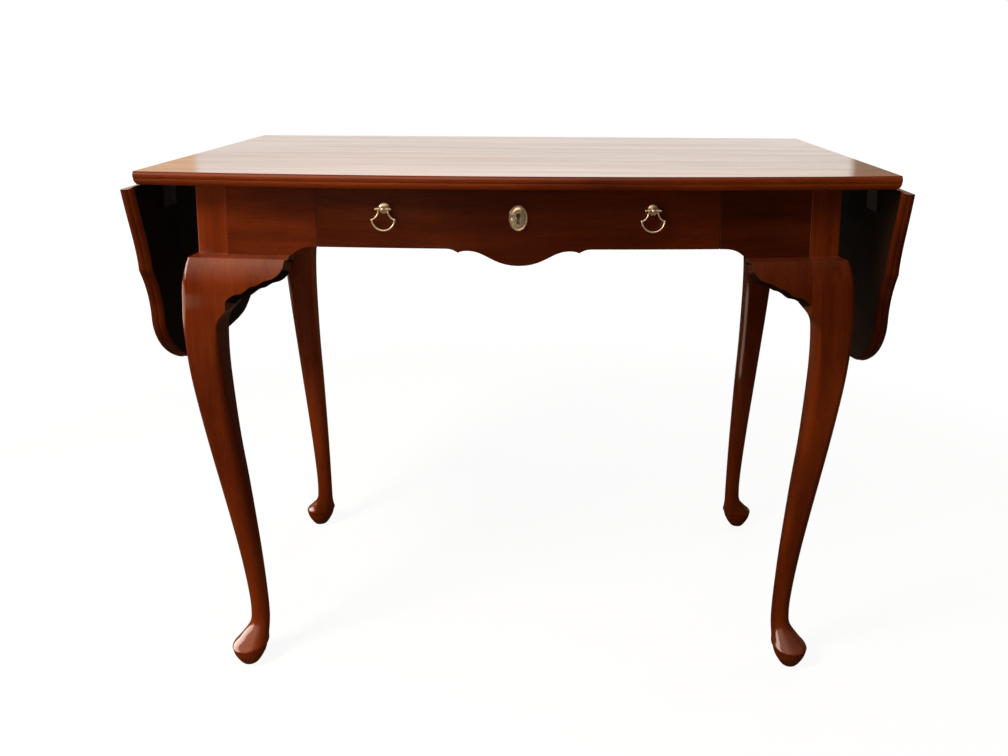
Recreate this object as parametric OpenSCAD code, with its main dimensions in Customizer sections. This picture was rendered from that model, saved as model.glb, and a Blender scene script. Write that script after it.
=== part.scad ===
// Drop-leaf console table: bow-fronted top, two moulded leaves, one drawer with a shaped
// drop, and four cabriole legs with scalloped knee blocks and dished pad feet.
// Millimetres, +Z up, the front faces -Y, the origin is on the floor under the middle.

/* [Overall] */
// Width of the fixed top between the two leaf joints
top_w = 1016; // [940:4:1120]
// Depth of the fixed top at the middle of its bowed front
top_d = 582; // [540:2:640]
// Height of the top surface above the floor
table_h = 750; // [710:2:790]

/* [Top and leaves] */
// Thickness of the top and of the leaves
top_t = 18; // [16:0.5:22]
// How far the front edge bows forward at its middle
top_bow = 30; // [18:1:40]
// How far the moulded edge is cut back at its lower side
edge_undercut = 4; // [2:0.5:5]
// Height of the small step along the upper arris of the edge
edge_step = 1.2; // [0.8:0.1:2]
// Reach of each leaf from its joint to its outer end
leaf_len = 288; // [260:1:310]
// How far the leaf's edge is cut in at the cusp
cusp_in = 39; // [30:1:46]
// How far the leaf's edge is cut in before its rounded corner
waist_in = 68; // [58:1:80]
// Open seam between the top and a raised leaf
leaf_gap = 0.4; // [0.3:0.1:0.8]

/* [Overhangs] */
// Top past the posts at each end
end_overhang = 69; // [60:1:80]
// Top past the front panels and the drawer
front_overhang = 40; // [34:1:50]
// Top past the posts at the back
back_overhang = 42; // [40:1:50]

/* [Legs] */
// Side of the square post at the head of each leg
post_w = 42; // [38:0.5:46]
// Height of the posts between the knees and the top
post_h = 98; // [96:1:106]
// How far the knee swells past the post
knee_out = 21.5; // [16:0.5:26]
// Width of the sloping ledge on the knee
ledge_w = 12; // [9:0.5:15]
// Diameter of the round ankle
ankle_d = 26.5; // [24:0.5:32]
// How far the ankle's centre stands in from the post's centre
ankle_in = 23.4; // [20:0.2:27]
// Diameter of the foot at its rim
foot_d = 50.5; // [46:0.5:56]
// How far the foot's centre stands in from the post's centre
foot_in = 12; // [8:0.5:16]
// Height of the foot's crisp rim above the floor
foot_rim_z = 28; // [24:1:32]
// Diameter of the flat that the foot stands on
foot_base_d = 23; // [18:1:28]

/* [Knee blocks] */
// Reach of a knee block along the apron
block_len = 86; // [76:1:94]
// Depth of a knee block below its ledge, at the leg
block_h = 76; // [70:1:84]
// Slope of a knee block's sawn underside, in degrees
block_slant = 17; // [8:1:24]

/* [Aprons and rails] */
// Height of the aprons, the front panels and the drawer front
apron_h = 86; // [85:1:92]
// Thickness of the aprons, the front panels and the drawer front
apron_t = 20; // [18:0.5:24]
// Thickness of the two rails behind the drawer front
rail_t = 16; // [14:0.5:17]
// Height of the lower rail's underside above the drawer front's lower edge
rail_lift = 2; // [1:0.5:4]

/* [Drawer] */
// Width of the drawer front
drawer_w = 544; // [500:2:580]
// Seam round the drawer front
drawer_seam = 0.7; // [0.5:0.1:1.5]
// Depth of the shaped drop at the middle of the drawer front
drop_h = 23; // [16:1:30]
// Half the width of the shaped drop
drop_half = 98; // [84:1:120]
// Thickness of the drawer's sides and back
side_t = 12; // [10:0.5:14]
// Thickness of the drawer's bottom
bottom_t = 5; // [4:0.5:6]
// Clearance between the closed drawer and the back apron
drawer_rest_gap = 40; // [6:1:80]
// Running gap above, below and beside the drawer box
drawer_gap = 0.3; // [0.3:0.1:0.8]
// Slack under the kickers that stop the open drawer from tipping
kicker_gap = 0.7; // [0.5:0.1:1.5]

/* [Drawer hardware] */
// Distance of each pull from the middle of the drawer
pull_x = 180; // [150:2:210]
// Height of the pulls below the top
pull_drop = 31.5; // [28:0.5:36]
// Diameter of the round back plates
rosette_d = 14.7; // [13:0.1:17]
// Diameter of the bail's wire
wire_d = 2.2; // [2:0.1:2.8]
// Width of the bail across its two points
bail_w = 30.6; // [28:0.2:34]
// Height of the bail below its pivot
bail_h = 29; // [26:0.5:30]
// Distance of the bail's pivot in front of the drawer
bail_reach = 7.5; // [7:0.5:10]
// Width of the oval keyhole plate
plate_w = 25.2; // [22:0.2:28]
// Height of the oval keyhole plate
plate_h = 36; // [32:0.5:40]
// Distance of the plate's middle below the top
plate_drop = 43; // [38:0.5:46]

/* [Leaf hinges] */
// Distance of each hinge from the middle of the leaf
hinge_y = 165; // [140:5:190]
// Length of a hinge along the joint
hinge_len = 40; // [36:1:48]
// Thickness of the hinge plates
hinge_plate_t = 1.6; // [1.4:0.1:2]
// Radius of the hinge knuckles
knuckle_r = 2.8; // [2.6:0.1:2.9]
// Radius of the hinge pins
pin_r = 1.4; // [1.2:0.1:1.5]
// Distance of the hinge pins below the underside of the top
pin_drop = 3.2; // [3.2:0.1:3.6]

/* [Leaf supports] */
// Width of the sliding support bars
loper_w = 32; // [28:1:36]
// Height of the sliding support bars
loper_h = 22; // [20:1:26]
// Clearance between a support bar at rest and the drawer's guide
loper_rest_gap = 5; // [3:0.5:12]

/* [Hidden] */

mahogany = [0.36, 0.15, 0.07];
pale_wood = [0.66, 0.47, 0.29];
brass = [0.82, 0.64, 0.33];
steel = [0.55, 0.55, 0.57];

round_fn = 48;
small_fn = 24;
eps = 0.01;
far = 60;

// Heights that the whole table shares
under_z = table_h - top_t;
ledge_z = under_z - post_h;
apron_z = under_z - apron_h;
knee_z = ledge_z - block_h;

// The bow: every curved front face is an arc about one upright axis behind the table
front_y = -top_d / 2;
back_y = top_d / 2;
top_r = (pow(top_w / 2, 2) + pow(top_bow, 2)) / (2 * top_bow);
arc_y = front_y + top_r;
arc_fn = 1440;
arc_span = 18;

// y of the bowed line that lies set_in behind the top's front edge
function bow_y(x, set_in) = arc_y - sqrt(pow(top_r - set_in, 2) - x * x);

// Posts
half_post = post_w / 2;
post_x = top_w / 2 - end_overhang - half_post;
post_yf = bow_y(post_x, front_overhang) + half_post;
post_yr = back_y - back_overhang - half_post;
side_mid_y = (post_yf + post_yr) / 2;
side_half = (post_yr - post_yf) / 2 - half_post;
front_half = post_x - half_post;
bow_slope = post_x / (top_r - front_overhang);

// Points of a cubic curve, without its last one
function curve(a, b, c, d, n) = [for (k = [0:n - 1]) let (t = k / n, s = 1 - t)
    s * s * s * a + 3 * s * s * t * b + 3 * s * t * t * c + t * t * t * d];

// One point of a smooth line through b and c
function between(a, b, c, d, t) = 0.5 * (2 * b + (c - a) * t
    + (2 * a - 5 * b + 4 * c - d) * t * t + (3 * b - a - 3 * c + d) * t * t * t);

// A smooth line through all rows, with n steps from row to row
function smooth(rows, n) = let (m = len(rows), far_row = 2 * rows[m - 1] - rows[m - 2],
    near_row = 2 * rows[0] - rows[1], ext = concat([near_row], rows, [far_row]))
    concat([for (k = [1:m - 1]) for (j = [0:n - 1])
    between(ext[k - 1], ext[k], ext[k + 1], ext[k + 2], j / n)], [rows[m - 1]]);

// Closed solid through level rings, the lowest first, each anticlockwise from above
module loft(rings) {
    n = len(rings[0]);
    m = len(rings);
    points = [for (ring = rings) each ring];
    sides = [for (k = [0:m - 2]) for (j = [0:n - 1])
        let (a = k * n + j, b = k * n + (j + 1) % n)
        each [[a, a + n, b + n], [a, b + n, b]]];
    lower = [[for (j = [0:n - 1]) j]];
    upper = [[for (j = [n - 1:-1:0]) (m - 1) * n + j]];
    polyhedron(points = points, faces = concat(lower, sides, upper), convexity = 4);
}

// Places a shape at both ends of X
module both_sides() {
    children();
    mirror([1, 0, 0]) children();
}

// A right-hand piece, or its mirror image on the left
module on_side(left) {
    mirror([left ? 1 : 0, 0, 0]) children();
}

// An outline in x and z, extruded from y0 to y1
module upright(outline, y0, y1) {
    translate([0, y1, 0]) rotate([90, 0, 0]) linear_extrude(y1 - y0) polygon(outline);
}

// The space between two bowed faces, set_a and set_b behind the top's front edge
module bow_band(set_a, set_b, z0, z1) {
    translate([0, arc_y, z0]) difference() {
        cylinder(r = top_r - set_a, h = z1 - z0, $fn = arc_fn);
        translate([0, 0, -1]) cylinder(r = top_r - set_b, h = z1 - z0 + 2, $fn = arc_fn);
    }
}

// Everything behind one bowed face, within a box
module behind_bow(set_in, x0, x1, y1, z0, z1) {
    intersection() {
        translate([0, arc_y, z0]) cylinder(r = top_r - set_in, h = z1 - z0, $fn = arc_fn);
        translate([x0, front_y, z0]) cube([x1 - x0, y1 - front_y, z1 - z0]);
    }
}

// Countersunk wood screw, its head's face at z = 0 and its shank downwards
module wood_screw(shank_d, head_d, length) {
    head_h = (head_d - shank_d) / 2;
    difference() {
        union() {
            translate([0, 0, -head_h])
                cylinder(d1 = shank_d, d2 = head_d, h = head_h, $fn = small_fn);
            translate([0, 0, -length]) cylinder(d = shank_d, h = length, $fn = small_fn);
        }
        translate([-head_d / 2 - 1, -slot_w / 2, -slot_deep])
            cube([head_d + 2, slot_w, slot_deep + 1]);
    }
}

// The hole that such a screw fills
module screw_hole(shank_d, head_d, length) {
    head_h = (head_d - shank_d) / 2;
    translate([0, 0, -head_h - screw_fit])
        cylinder(d1 = shank_d + 2 * screw_fit, d2 = head_d + 4 * screw_fit,
            h = head_h + 2 * screw_fit, $fn = small_fn);
    translate([0, 0, -length - screw_fit])
        cylinder(d = shank_d + 2 * screw_fit, h = length + 2 * screw_fit, $fn = small_fn);
}

// Screws
screw_fit = 0.05;
slot_w = 0.8;
slot_deep = 0.7;
top_screw_d = 4;
top_screw_head = 8;
hinge_screw_d = 3;
hinge_screw_head = 5.6;
hinge_screw_len = 12;
lock_screw_d = 2.6;
lock_screw_head = 4.8;
lock_screw_len = 10;

// Edge moulding of the top and the leaves: [set-back, depth below the top face]
band_bulge = 0.9;
quirk = 1.5;
step_in = 1.6;
arris = 0.15;
mid_d = top_t * 0.51;
low_d = top_t * 0.545;
flat_d = top_t * 0.61;
edge_profile = concat(
    [[step_in, 0], [step_in, edge_step - arris]],
    [for (k = [-2:2]) let (t = k / 2)
        [band_bulge * t * t, (edge_step + mid_d) / 2 + t * (mid_d - edge_step) / 2]],
    [[quirk, mid_d + arris], [quirk, low_d - arris], [band_bulge, low_d]],
    [for (k = [0:3]) let (t = k / 3)
        [0.7 + (edge_undercut - 0.7) * t * t, flat_d + t * (top_t - flat_d)]]);

// The joint between top and leaf is upright above and hollows under below
joint_flat = top_t * 0.44;
function joint_in(d) = d < joint_flat ? 0
    : edge_undercut * pow((d - joint_flat) / (top_t - joint_flat), 2);
joint_depths = concat([0, joint_flat],
    [for (k = [1:4]) joint_flat + k / 4 * (top_t - joint_flat)]);

// Screws that hold the top: through the corner blocks and through the top rail
block_reach = 38;
corner_block_h = 42;
block_z = under_z - corner_block_h;
corner_x = post_x + half_post - apron_t;
corner_screw_in = 13;
top_screw_bite = 11;
rail_screw_x = 130;
rail_screw_y = post_yf + half_post - 14;
corner_screws = [[corner_x - corner_screw_in, post_yf + half_post + corner_screw_in],
    [corner_x - corner_screw_in, post_yr - half_post - corner_screw_in]];

// Leaf hinges
pin_x = top_w / 2 - 3;
pin_z = under_z - pin_drop;
leaf_mid_y = top_bow / 2;
frame_leaf_w = 33;
long_leaf_w = 42;
knuckles = 5;
knuckle_gap = 0.3;
knuckle_clear = 0.4;
plate_screw_y = hinge_len / 2 - 7;

// Drawer and rails
rail_z0 = apron_z + rail_lift;
rail_z1 = rail_z0 + rail_t;
box_z0 = rail_z1 + drawer_gap;
box_slack = 5;
box_z1 = under_z - rail_t - box_slack;
box_inset = 10;
box_half = drawer_w / 2 - box_inset;
opening_half = drawer_w / 2 + drawer_seam;
front_back_set = front_overhang + apron_t;
rail_rear_y = post_yf + half_post;
box_back_y = post_yr + half_post - apron_t - drawer_rest_gap;
groove = 4;
bottom_z = box_z0 + 3;
bottom_fit = 0.1;
runner_under = 22;
runner_in = box_half - runner_under;
strip_w = 14;
guide_out = box_half + strip_w;
drawer_guide_h = 24;

// Pulls and lock
bow_angle = asin(pull_x / (top_r - front_overhang));
pull_z = under_z - pull_drop;
stem_d = 4;
stem_hole_d = 4.4;
eye_x = 6.4;
eye_w = 2.4;
eye_r = 2.7;
pivot_r = 1.3;
pivot_fit = 0.06;
end_ball_r = 1.7;
nut_d = 9;
nut_h = 3;
plate_z = under_z - plate_drop;
lock_w = 50;
lock_h = 34;
lock_plate_t = 1.5;
lock_box_w = 36;
lock_box_h = 30;
lock_box_d = 9.5;
lock_y = bow_y(lock_w / 2, front_back_set) + 0.05;
lock_z1 = box_z1 - 1;
bolt_w = 20;
bolt_t = 5;
bolt_h = 22;
bolt_fit = 0.3;
bolt_throw = 10;
bolt_y = lock_y + lock_plate_t + 5;

// Leaf supports
slide_gap = 0.3;
loper_z1 = under_z - slide_gap;
loper_z0 = loper_z1 - loper_h;
loper_out_x = post_x + half_post;
loper_in_x = guide_out + loper_rest_gap;
loper_len = loper_out_x - loper_in_x;
guide_wall = 8;
guide_floor = 7;
guide_short = 8;
guide_len = corner_x - loper_in_x - guide_short;
stop_pin_r = 3;
stop_fit = 0.4;
stop_groove = 5;
loper_leaf_gap = 1;
loper_travel = end_overhang - loper_leaf_gap;
groove_in = 12;
stop_pin_x = loper_in_x + groove_in + loper_travel;
finger_r = 8;

// Leg shape. Offsets are outward from the post's centre, alike in x and in y.
foot_row = [foot_rim_z, -foot_in - foot_d / 2, -foot_in + foot_d / 2, 0.97, 0.97];
sole_rows = [
    [0, -foot_in - foot_base_d / 2, -foot_in + foot_base_d / 2, 0.97, 0.97],
    [0.21 * foot_rim_z, -foot_in - 0.32 * foot_d, -foot_in + 0.32 * foot_d, 0.97, 0.97],
    [0.6 * foot_rim_z, -foot_in - 0.44 * foot_d, -foot_in + 0.44 * foot_d, 0.97, 0.97],
    foot_row];
ankle_lo = -ankle_in - ankle_d / 2;
ankle_hi = -ankle_in + ankle_d / 2;
ankle_z = 0.174 * ledge_z;
instep_rows = [
    foot_row,
    [foot_rim_z + 3, foot_row[1] - 1.5, foot_row[2] - 2, 0.97, 0.97],
    [1.43 * foot_rim_z, 1.04 * ankle_lo, 0.19 * foot_row[2], 0.97, 0.97],
    [2 * foot_rim_z, 1.045 * ankle_lo, ankle_hi + 0.5, 0.97, 0.97],
    [2.7 * foot_rim_z, 1.04 * ankle_lo, ankle_hi - 2, 0.97, 0.97]];
// Shank rows: share of the height, of the inner rise and of the outer rise, two roundings
shank_shares = [
    [0, 0, 0, 0.97, 0.97],
    [0.13, 0.22, 0.126, 0.92, 0.92],
    [0.27, 0.534, 0.288, 0.78, 0.84],
    [0.41, 0.885, 0.459, 0.62, 0.74],
    [0.55, 1.288, 0.628, 0.48, 0.62],
    [0.69, 1.594, 0.787, 0.38, 0.50],
    [0.82, 1.818, 0.915, 0.32, 0.38],
    [0.92, 1.875, 0.975, 0.28, 0.2],
    [0.965, 1.735, 0.996, 0.27, 0.1]];
shank_rows = [for (s = shank_shares) [ankle_z + s[0] * (knee_z - ankle_z),
    ankle_lo + s[1] * (-half_post - ankle_lo),
    ankle_hi + s[2] * (half_post + knee_out - ankle_hi), s[3], s[4]]];
knee_rows = [
    [knee_z, -half_post, half_post + knee_out, 0.26, 0.03],
    [knee_z + 0.42 * block_h, -half_post, half_post + 0.95 * knee_out, 0.25, 0.03],
    [knee_z + 0.62 * block_h, -half_post, half_post + 0.86 * knee_out, 0.23, 0.03],
    [knee_z + 0.81 * block_h, -half_post, half_post + 0.71 * knee_out, 0.2, 0.03],
    [ledge_z - 4, -half_post, half_post + ledge_w, 0.16, 0.03]];
post_rows = [for (z = [ledge_z, under_z]) [z, -half_post, half_post, 0.04, 0.04]];
knee_line = smooth(knee_rows, 2);
shank_line = smooth(concat(instep_rows, shank_rows, [knee_rows[0]]), 2);
leg_line = concat(
    [for (k = [0:len(sole_rows) - 2]) sole_rows[k]],
    [for (k = [0:len(shank_line) - 2]) shank_line[k]],
    knee_line, post_rows);
corner_steps = 6;
skew_low = 110;
skew_rise = 100;
corner_signs = [[1, 1], [-1, 1], [-1, -1], [1, -1]];

// One level section of a leg: a square with rounded corners, skewed to follow the bow
function leg_ring(row, skew) = let (z = row[0], h = (row[2] - row[1]) / 2,
    c = (row[2] + row[1]) / 2, k = skew * max(0, min(1, (z - knee_z + skew_low) / skew_rise)))
    [for (q = [0:3]) for (j = [0:corner_steps - 1])
        let (r = h * (q == 0 ? row[3] : row[4]),
            turn = 90 * q + 90 * j / (corner_steps - 1),
            a = c + corner_signs[q][0] * (h - r) + r * cos(turn),
            b = c + corner_signs[q][1] * (h - r) + r * sin(turn))
        [a, b - k * a * (b - row[1]) / (2 * h), z]];

// A leg in its own corner: its outward corner points to +X and +Y
module cabriole_leg(skew) {
    loft([for (row = leg_line) leg_ring(row, skew)]);
}

module place_leg(x_sign, y_sign) {
    translate([x_sign * post_x, y_sign < 0 ? post_yf : post_yr, 0])
        mirror([x_sign < 0 ? 1 : 0, 0, 0]) mirror([0, y_sign < 0 ? 1 : 0, 0]) children();
}

// The scalloped outline of a knee block at its back: distance from the leg, height above
// the block's foot
function on_block(along, up) = [along * block_len, up * block_h];
block_outline = concat(
    curve([0, 0], on_block(0.05, 0.08), on_block(0.12, 0.152), on_block(0.227, 0.158), 5),
    curve(on_block(0.227, 0.158), on_block(0.3, 0.17), on_block(0.37, 0.288),
        on_block(0.455, 0.308), 5),
    curve(on_block(0.455, 0.308), on_block(0.54, 0.315), on_block(0.58, 0.405),
        on_block(0.69, 0.425), 5),
    curve(on_block(0.69, 0.425), on_block(0.82, 0.46), on_block(0.925, 0.58),
        on_block(0.935, 0.72), 5),
    [on_block(0.935, 0.72), on_block(0.95, 0.8), on_block(1, 0.86), on_block(1, 1.3),
    on_block(0, 1.3)]);
block_profile = concat(
    [[-apron_t, ledge_z], [-apron_t, knee_z]],
    [for (row = knee_line) [row[2] - half_post, row[0]]],
    [[0, ledge_z]]);

// A knee block on the leg's Y side: it runs from the leg towards -X under the apron
module knee_block(face, tilt) {
    intersection() {
        translate([-half_post, face, 0]) rotate([0, 0, -tilt])
            translate([-block_len - 4, 0, 0]) rotate([90, 0, 90])
            linear_extrude(block_len + 12) polygon(block_profile);
        translate([0, half_post - apron_t, knee_z]) rotate([block_slant, 0, 0])
            upright([for (p = block_outline) [-half_post - p[0], p[1] * cos(block_slant)]],
            -far, 2 * far);
    }
}

module front_knee_block() {
    block_mid_x = front_half - block_len / 2;
    knee_block(post_yf - bow_y(front_half, front_overhang),
        asin(block_mid_x / (top_r - front_overhang)));
}

module side_knee_block() {
    mirror([1, -1, 0]) knee_block(half_post, 0);
}

// The lower edge of an apron, from a post towards the middle: it sweeps up past the block
cove_from = block_len + 1.5;
cove_len = 31;
function apron_foot(edge, dir) = concat([[edge, ledge_z]],
    [for (p = curve([cove_from, ledge_z], [cove_from + 0.2 * cove_len, ledge_z + 1.5],
        [cove_from + 0.3 * cove_len, apron_z], [cove_from + cove_len, apron_z], 8))
        [edge - dir * p[0], p[1]]], [[edge - dir * (cove_from + cove_len), apron_z]]);

function reversed(list) = [for (k = [len(list) - 1:-1:0]) list[k]];

function apron_outline(half) = concat([[-half, under_z]], apron_foot(-half, -1),
    reversed(apron_foot(half, 1)), [[half, under_z]]);

module table_top() {
    color(mahogany) difference() {
        intersection() {
            translate([0, arc_y, 0]) rotate([0, 0, 270 - arc_span / 2])
                rotate_extrude(angle = arc_span, $fn = arc_fn)
                polygon(concat([for (p = edge_profile) [top_r - p[0], table_h - p[1]]],
                    [[top_r - top_d - far, under_z], [top_r - top_d - far, table_h]]));
            upright(concat([for (d = joint_depths) [top_w / 2 - joint_in(d), table_h - d]],
                [for (d = reversed(joint_depths)) [joint_in(d) - top_w / 2, table_h - d]]),
                front_y - far, back_y + far);
            translate([-top_w, 0, 0]) rotate([90, 0, 90]) linear_extrude(2 * top_w)
                polygon(concat([for (p = edge_profile) [back_y - p[0], table_h - p[1]]],
                    [[front_y - far, under_z], [front_y - far, table_h]]));
        }
        both_sides() {
            for (p = corner_screws)
                translate([p[0], p[1], under_z - eps])
                cylinder(d = top_screw_d + 2 * screw_fit, h = top_screw_bite + 1, $fn = small_fn);
            translate([rail_screw_x, rail_screw_y, under_z - eps])
                cylinder(d = top_screw_d + 2 * screw_fit, h = top_screw_bite + 1, $fn = small_fn);
            hinge_screw_holes(-1);
        }
    }
}

module leg_front_left() {
    color(mahogany) place_leg(-1, -1) cabriole_leg(bow_slope);
}

module leg_front_right() {
    color(mahogany) place_leg(1, -1) cabriole_leg(bow_slope);
}

module leg_rear_left() {
    color(mahogany) place_leg(-1, 1) cabriole_leg(0);
}

module leg_rear_right() {
    color(mahogany) place_leg(1, 1) cabriole_leg(0);
}

module knee_block_front_left() {
    color(mahogany) place_leg(-1, -1) front_knee_block();
}

module knee_block_front_right() {
    color(mahogany) place_leg(1, -1) front_knee_block();
}

module knee_block_back_left() {
    color(mahogany) place_leg(-1, 1) knee_block(half_post, 0);
}

module knee_block_back_right() {
    color(mahogany) place_leg(1, 1) knee_block(half_post, 0);
}

module knee_block_left_front() {
    color(mahogany) place_leg(-1, -1) side_knee_block();
}

module knee_block_left_rear() {
    color(mahogany) place_leg(-1, 1) side_knee_block();
}

module knee_block_right_front() {
    color(mahogany) place_leg(1, -1) side_knee_block();
}

module knee_block_right_rear() {
    color(mahogany) place_leg(1, 1) side_knee_block();
}

// A side apron with the notch that its support bar slides through
module side_apron(left) {
    color(mahogany) on_side(left) difference() {
        translate([corner_x, side_mid_y, 0]) rotate([90, 0, 90])
            linear_extrude(apron_t) polygon(apron_outline(side_half));
        translate([corner_x - 1, side_mid_y - loper_w / 2 - slide_gap, loper_z0 - slide_gap])
            cube([apron_t + 2, loper_w + 2 * slide_gap, far]);
    }
}

module side_apron_left() {
    side_apron(true);
}

module side_apron_right() {
    side_apron(false);
}

module back_apron() {
    color(mahogany) upright(apron_outline(front_half),
        post_yr + half_post - apron_t, post_yr + half_post);
}

// A bowed panel between a front post and the drawer
module front_panel(left) {
    color(mahogany) on_side(left) intersection() {
        bow_band(front_overhang, front_back_set, ledge_z, under_z);
        upright(concat([[front_half, under_z], [opening_half, under_z], [opening_half, apron_z]],
            reversed(apron_foot(front_half, 1))), front_y, 0);
    }
}

module front_panel_left() {
    front_panel(true);
}

module front_panel_right() {
    front_panel(false);
}

module front_top_rail() {
    color(pale_wood) difference() {
        behind_bow(front_back_set + drawer_gap, -front_half, front_half, rail_rear_y,
            under_z - rail_t, under_z);
        both_sides() translate([rail_screw_x, rail_screw_y, under_z - rail_t])
            mirror([0, 0, 1]) screw_hole(top_screw_d, top_screw_head, rail_t + 1);
        translate([-bolt_w / 2 - 1, bolt_y - bolt_t / 2 - 1, under_z - rail_t - 1])
            cube([bolt_w + 2, bolt_t + 2, bolt_throw - 2]);
    }
}

module front_bottom_rail() {
    color(pale_wood) behind_bow(front_back_set + drawer_gap, -front_half, front_half,
        rail_rear_y, rail_z0, rail_z1);
}

// A strip along the drawer, from the front rails to the back apron
module drawer_strip(left, x0, x1, z0, z1) {
    color(pale_wood) on_side(left) translate([x0, rail_rear_y, z0])
        cube([x1 - x0, post_yr + half_post - apron_t - rail_rear_y, z1 - z0]);
}

module drawer_runner_left() {
    drawer_strip(true, runner_in, guide_out, rail_z0, rail_z1);
}

module drawer_runner_right() {
    drawer_strip(false, runner_in, guide_out, rail_z0, rail_z1);
}

module drawer_guide_left() {
    drawer_strip(true, box_half + drawer_gap, guide_out, rail_z1,
        rail_z1 + drawer_guide_h);
}

module drawer_guide_right() {
    drawer_strip(false, box_half + drawer_gap, guide_out, rail_z1,
        rail_z1 + drawer_guide_h);
}

module drawer_kicker_left() {
    drawer_strip(true, runner_in, guide_out, box_z1 + kicker_gap, under_z);
}

module drawer_kicker_right() {
    drawer_strip(false, runner_in, guide_out, box_z1 + kicker_gap, under_z);
}

module corner_blocks() {
    front_y0 = post_yf + half_post;
    rear_y0 = post_yr - half_post;
    color(pale_wood) both_sides() difference() {
        translate([0, 0, block_z]) linear_extrude(under_z - block_z) {
            polygon([[corner_x, front_y0], [corner_x, front_y0 + block_reach],
                [corner_x - block_reach, front_y0]]);
            polygon([[corner_x, rear_y0], [front_half, rear_y0],
                [front_half, rear_y0 + post_w - apron_t],
                [front_half - block_reach / 2, rear_y0 + post_w - apron_t],
                [corner_x, rear_y0 - block_reach]]);
        }
        for (p = corner_screws) translate([p[0], p[1], block_z]) mirror([0, 0, 1])
            screw_hole(top_screw_d, top_screw_head, under_z - block_z + 1);
    }
}

module top_screws() {
    color(steel) both_sides() {
        for (p = corner_screws) translate([p[0], p[1], block_z]) mirror([0, 0, 1])
            wood_screw(top_screw_d, top_screw_head, under_z - block_z + top_screw_bite);
        translate([rail_screw_x, rail_screw_y, under_z - rail_t]) mirror([0, 0, 1])
            wood_screw(top_screw_d, top_screw_head, rail_t + top_screw_bite);
    }
}

// The wooden channel under the top that carries a support bar
module loper_guide(left) {
    inner_w = loper_w + 2 * slide_gap;
    floor_z = loper_z0 - slide_gap;
    color(pale_wood) on_side(left) difference() {
        translate([corner_x - guide_len, side_mid_y - inner_w / 2 - guide_wall,
            floor_z - guide_floor])
            cube([guide_len, inner_w + 2 * guide_wall, under_z - floor_z + guide_floor]);
        translate([corner_x - guide_len - 1, side_mid_y - inner_w / 2, floor_z])
            cube([guide_len + 2, inner_w, far]);
        translate([stop_pin_x, side_mid_y, floor_z - guide_floor - 1])
            cylinder(r = stop_pin_r, h = guide_floor + 2, $fn = small_fn);
    }
}

module loper_guide_left() {
    loper_guide(true);
}

module loper_guide_right() {
    loper_guide(false);
}

// A support bar with its stop groove and the finger hollow in its outer end
module loper(left) {
    groove_w = 2 * (stop_pin_r + stop_fit);
    color(mahogany) on_side(left) difference() {
        translate([loper_in_x, side_mid_y - loper_w / 2, loper_z0])
            cube([loper_len, loper_w, loper_h]);
        translate([stop_pin_x - loper_travel - groove_w / 2, side_mid_y - groove_w / 2,
            loper_z0 - 1])
            cube([loper_travel + groove_w, groove_w, stop_groove + 1]);
        translate([loper_out_x, side_mid_y - loper_w / 2 - 1, loper_z0])
            rotate([-90, 0, 0]) cylinder(r = finger_r, h = loper_w + 2, $fn = round_fn);
    }
}

module loper_left() {
    loper(true);
}

module loper_right() {
    loper(false);
}

module loper_stop_pins() {
    floor_z = loper_z0 - slide_gap;
    color(pale_wood) both_sides()
        translate([stop_pin_x, side_mid_y, floor_z - guide_floor])
        cylinder(r = stop_pin_r, h = guide_floor + slide_gap + stop_groove - 0.5,
            $fn = small_fn);
}

// The five knuckles along one hinge: first and last give its two ends
function knuckle_y(k) = -hinge_len / 2 + k * hinge_len / knuckles;
knuckle_len = hinge_len / knuckles - knuckle_gap;

// One hinge plate as it lies when the leaf is up: side -1 is the top's, 1 the leaf's
module hinge_plate(side) {
    own = side < 0 ? [0, 2, 4] : [1, 3];
    other = side < 0 ? [1, 3] : [0, 2, 4];
    width = side < 0 ? frame_leaf_w : long_leaf_w;
    difference() {
        union() {
            translate([side < 0 ? -width : 0, -hinge_len / 2, pin_drop - hinge_plate_t])
                cube([width, hinge_len, hinge_plate_t]);
            for (k = own) translate([0, knuckle_y(k) + knuckle_gap / 2, 0])
                rotate([-90, 0, 0]) cylinder(r = knuckle_r, h = knuckle_len, $fn = round_fn);
        }
        for (k = other) translate([0, knuckle_y(k) - knuckle_gap / 2, 0])
            rotate([-90, 0, 0]) cylinder(r = knuckle_r + knuckle_clear,
                h = knuckle_len + 2 * knuckle_gap, $fn = round_fn);
        for (k = other) translate([-knuckle_r - knuckle_clear,
            knuckle_y(k) - knuckle_gap / 2, 0])
            cube([2 * (knuckle_r + knuckle_clear), knuckle_len + 2 * knuckle_gap, far]);
        translate([0, -hinge_len, 0]) rotate([-90, 0, 0])
            cylinder(r = pin_r + (side < 0 ? 0.02 : 0.08), h = 2 * hinge_len, $fn = round_fn);
        hinge_screw_set(side) screw_hole(hinge_screw_d, hinge_screw_head, hinge_screw_len);
    }
}

// Where the screws of one plate go, heads down
module hinge_screw_set(side) {
    width = side < 0 ? frame_leaf_w : long_leaf_w;
    for (p = [[0.42, 0], [0.78, -1], [0.78, 1]])
        translate([side * p[0] * width, p[1] * plate_screw_y, pin_drop - hinge_plate_t])
        mirror([0, 0, 1]) children();
}

// Both hinges of the right-hand leaf, as they lie when the leaf is up
module hinge_pair() {
    for (s = [-1, 1]) translate([pin_x, leaf_mid_y + s * hinge_y, pin_z]) children();
}

module hinge_screw_holes(side) {
    hinge_pair() hinge_screw_set(side)
        screw_hole(hinge_screw_d, hinge_screw_head, hinge_screw_len);
}

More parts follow.
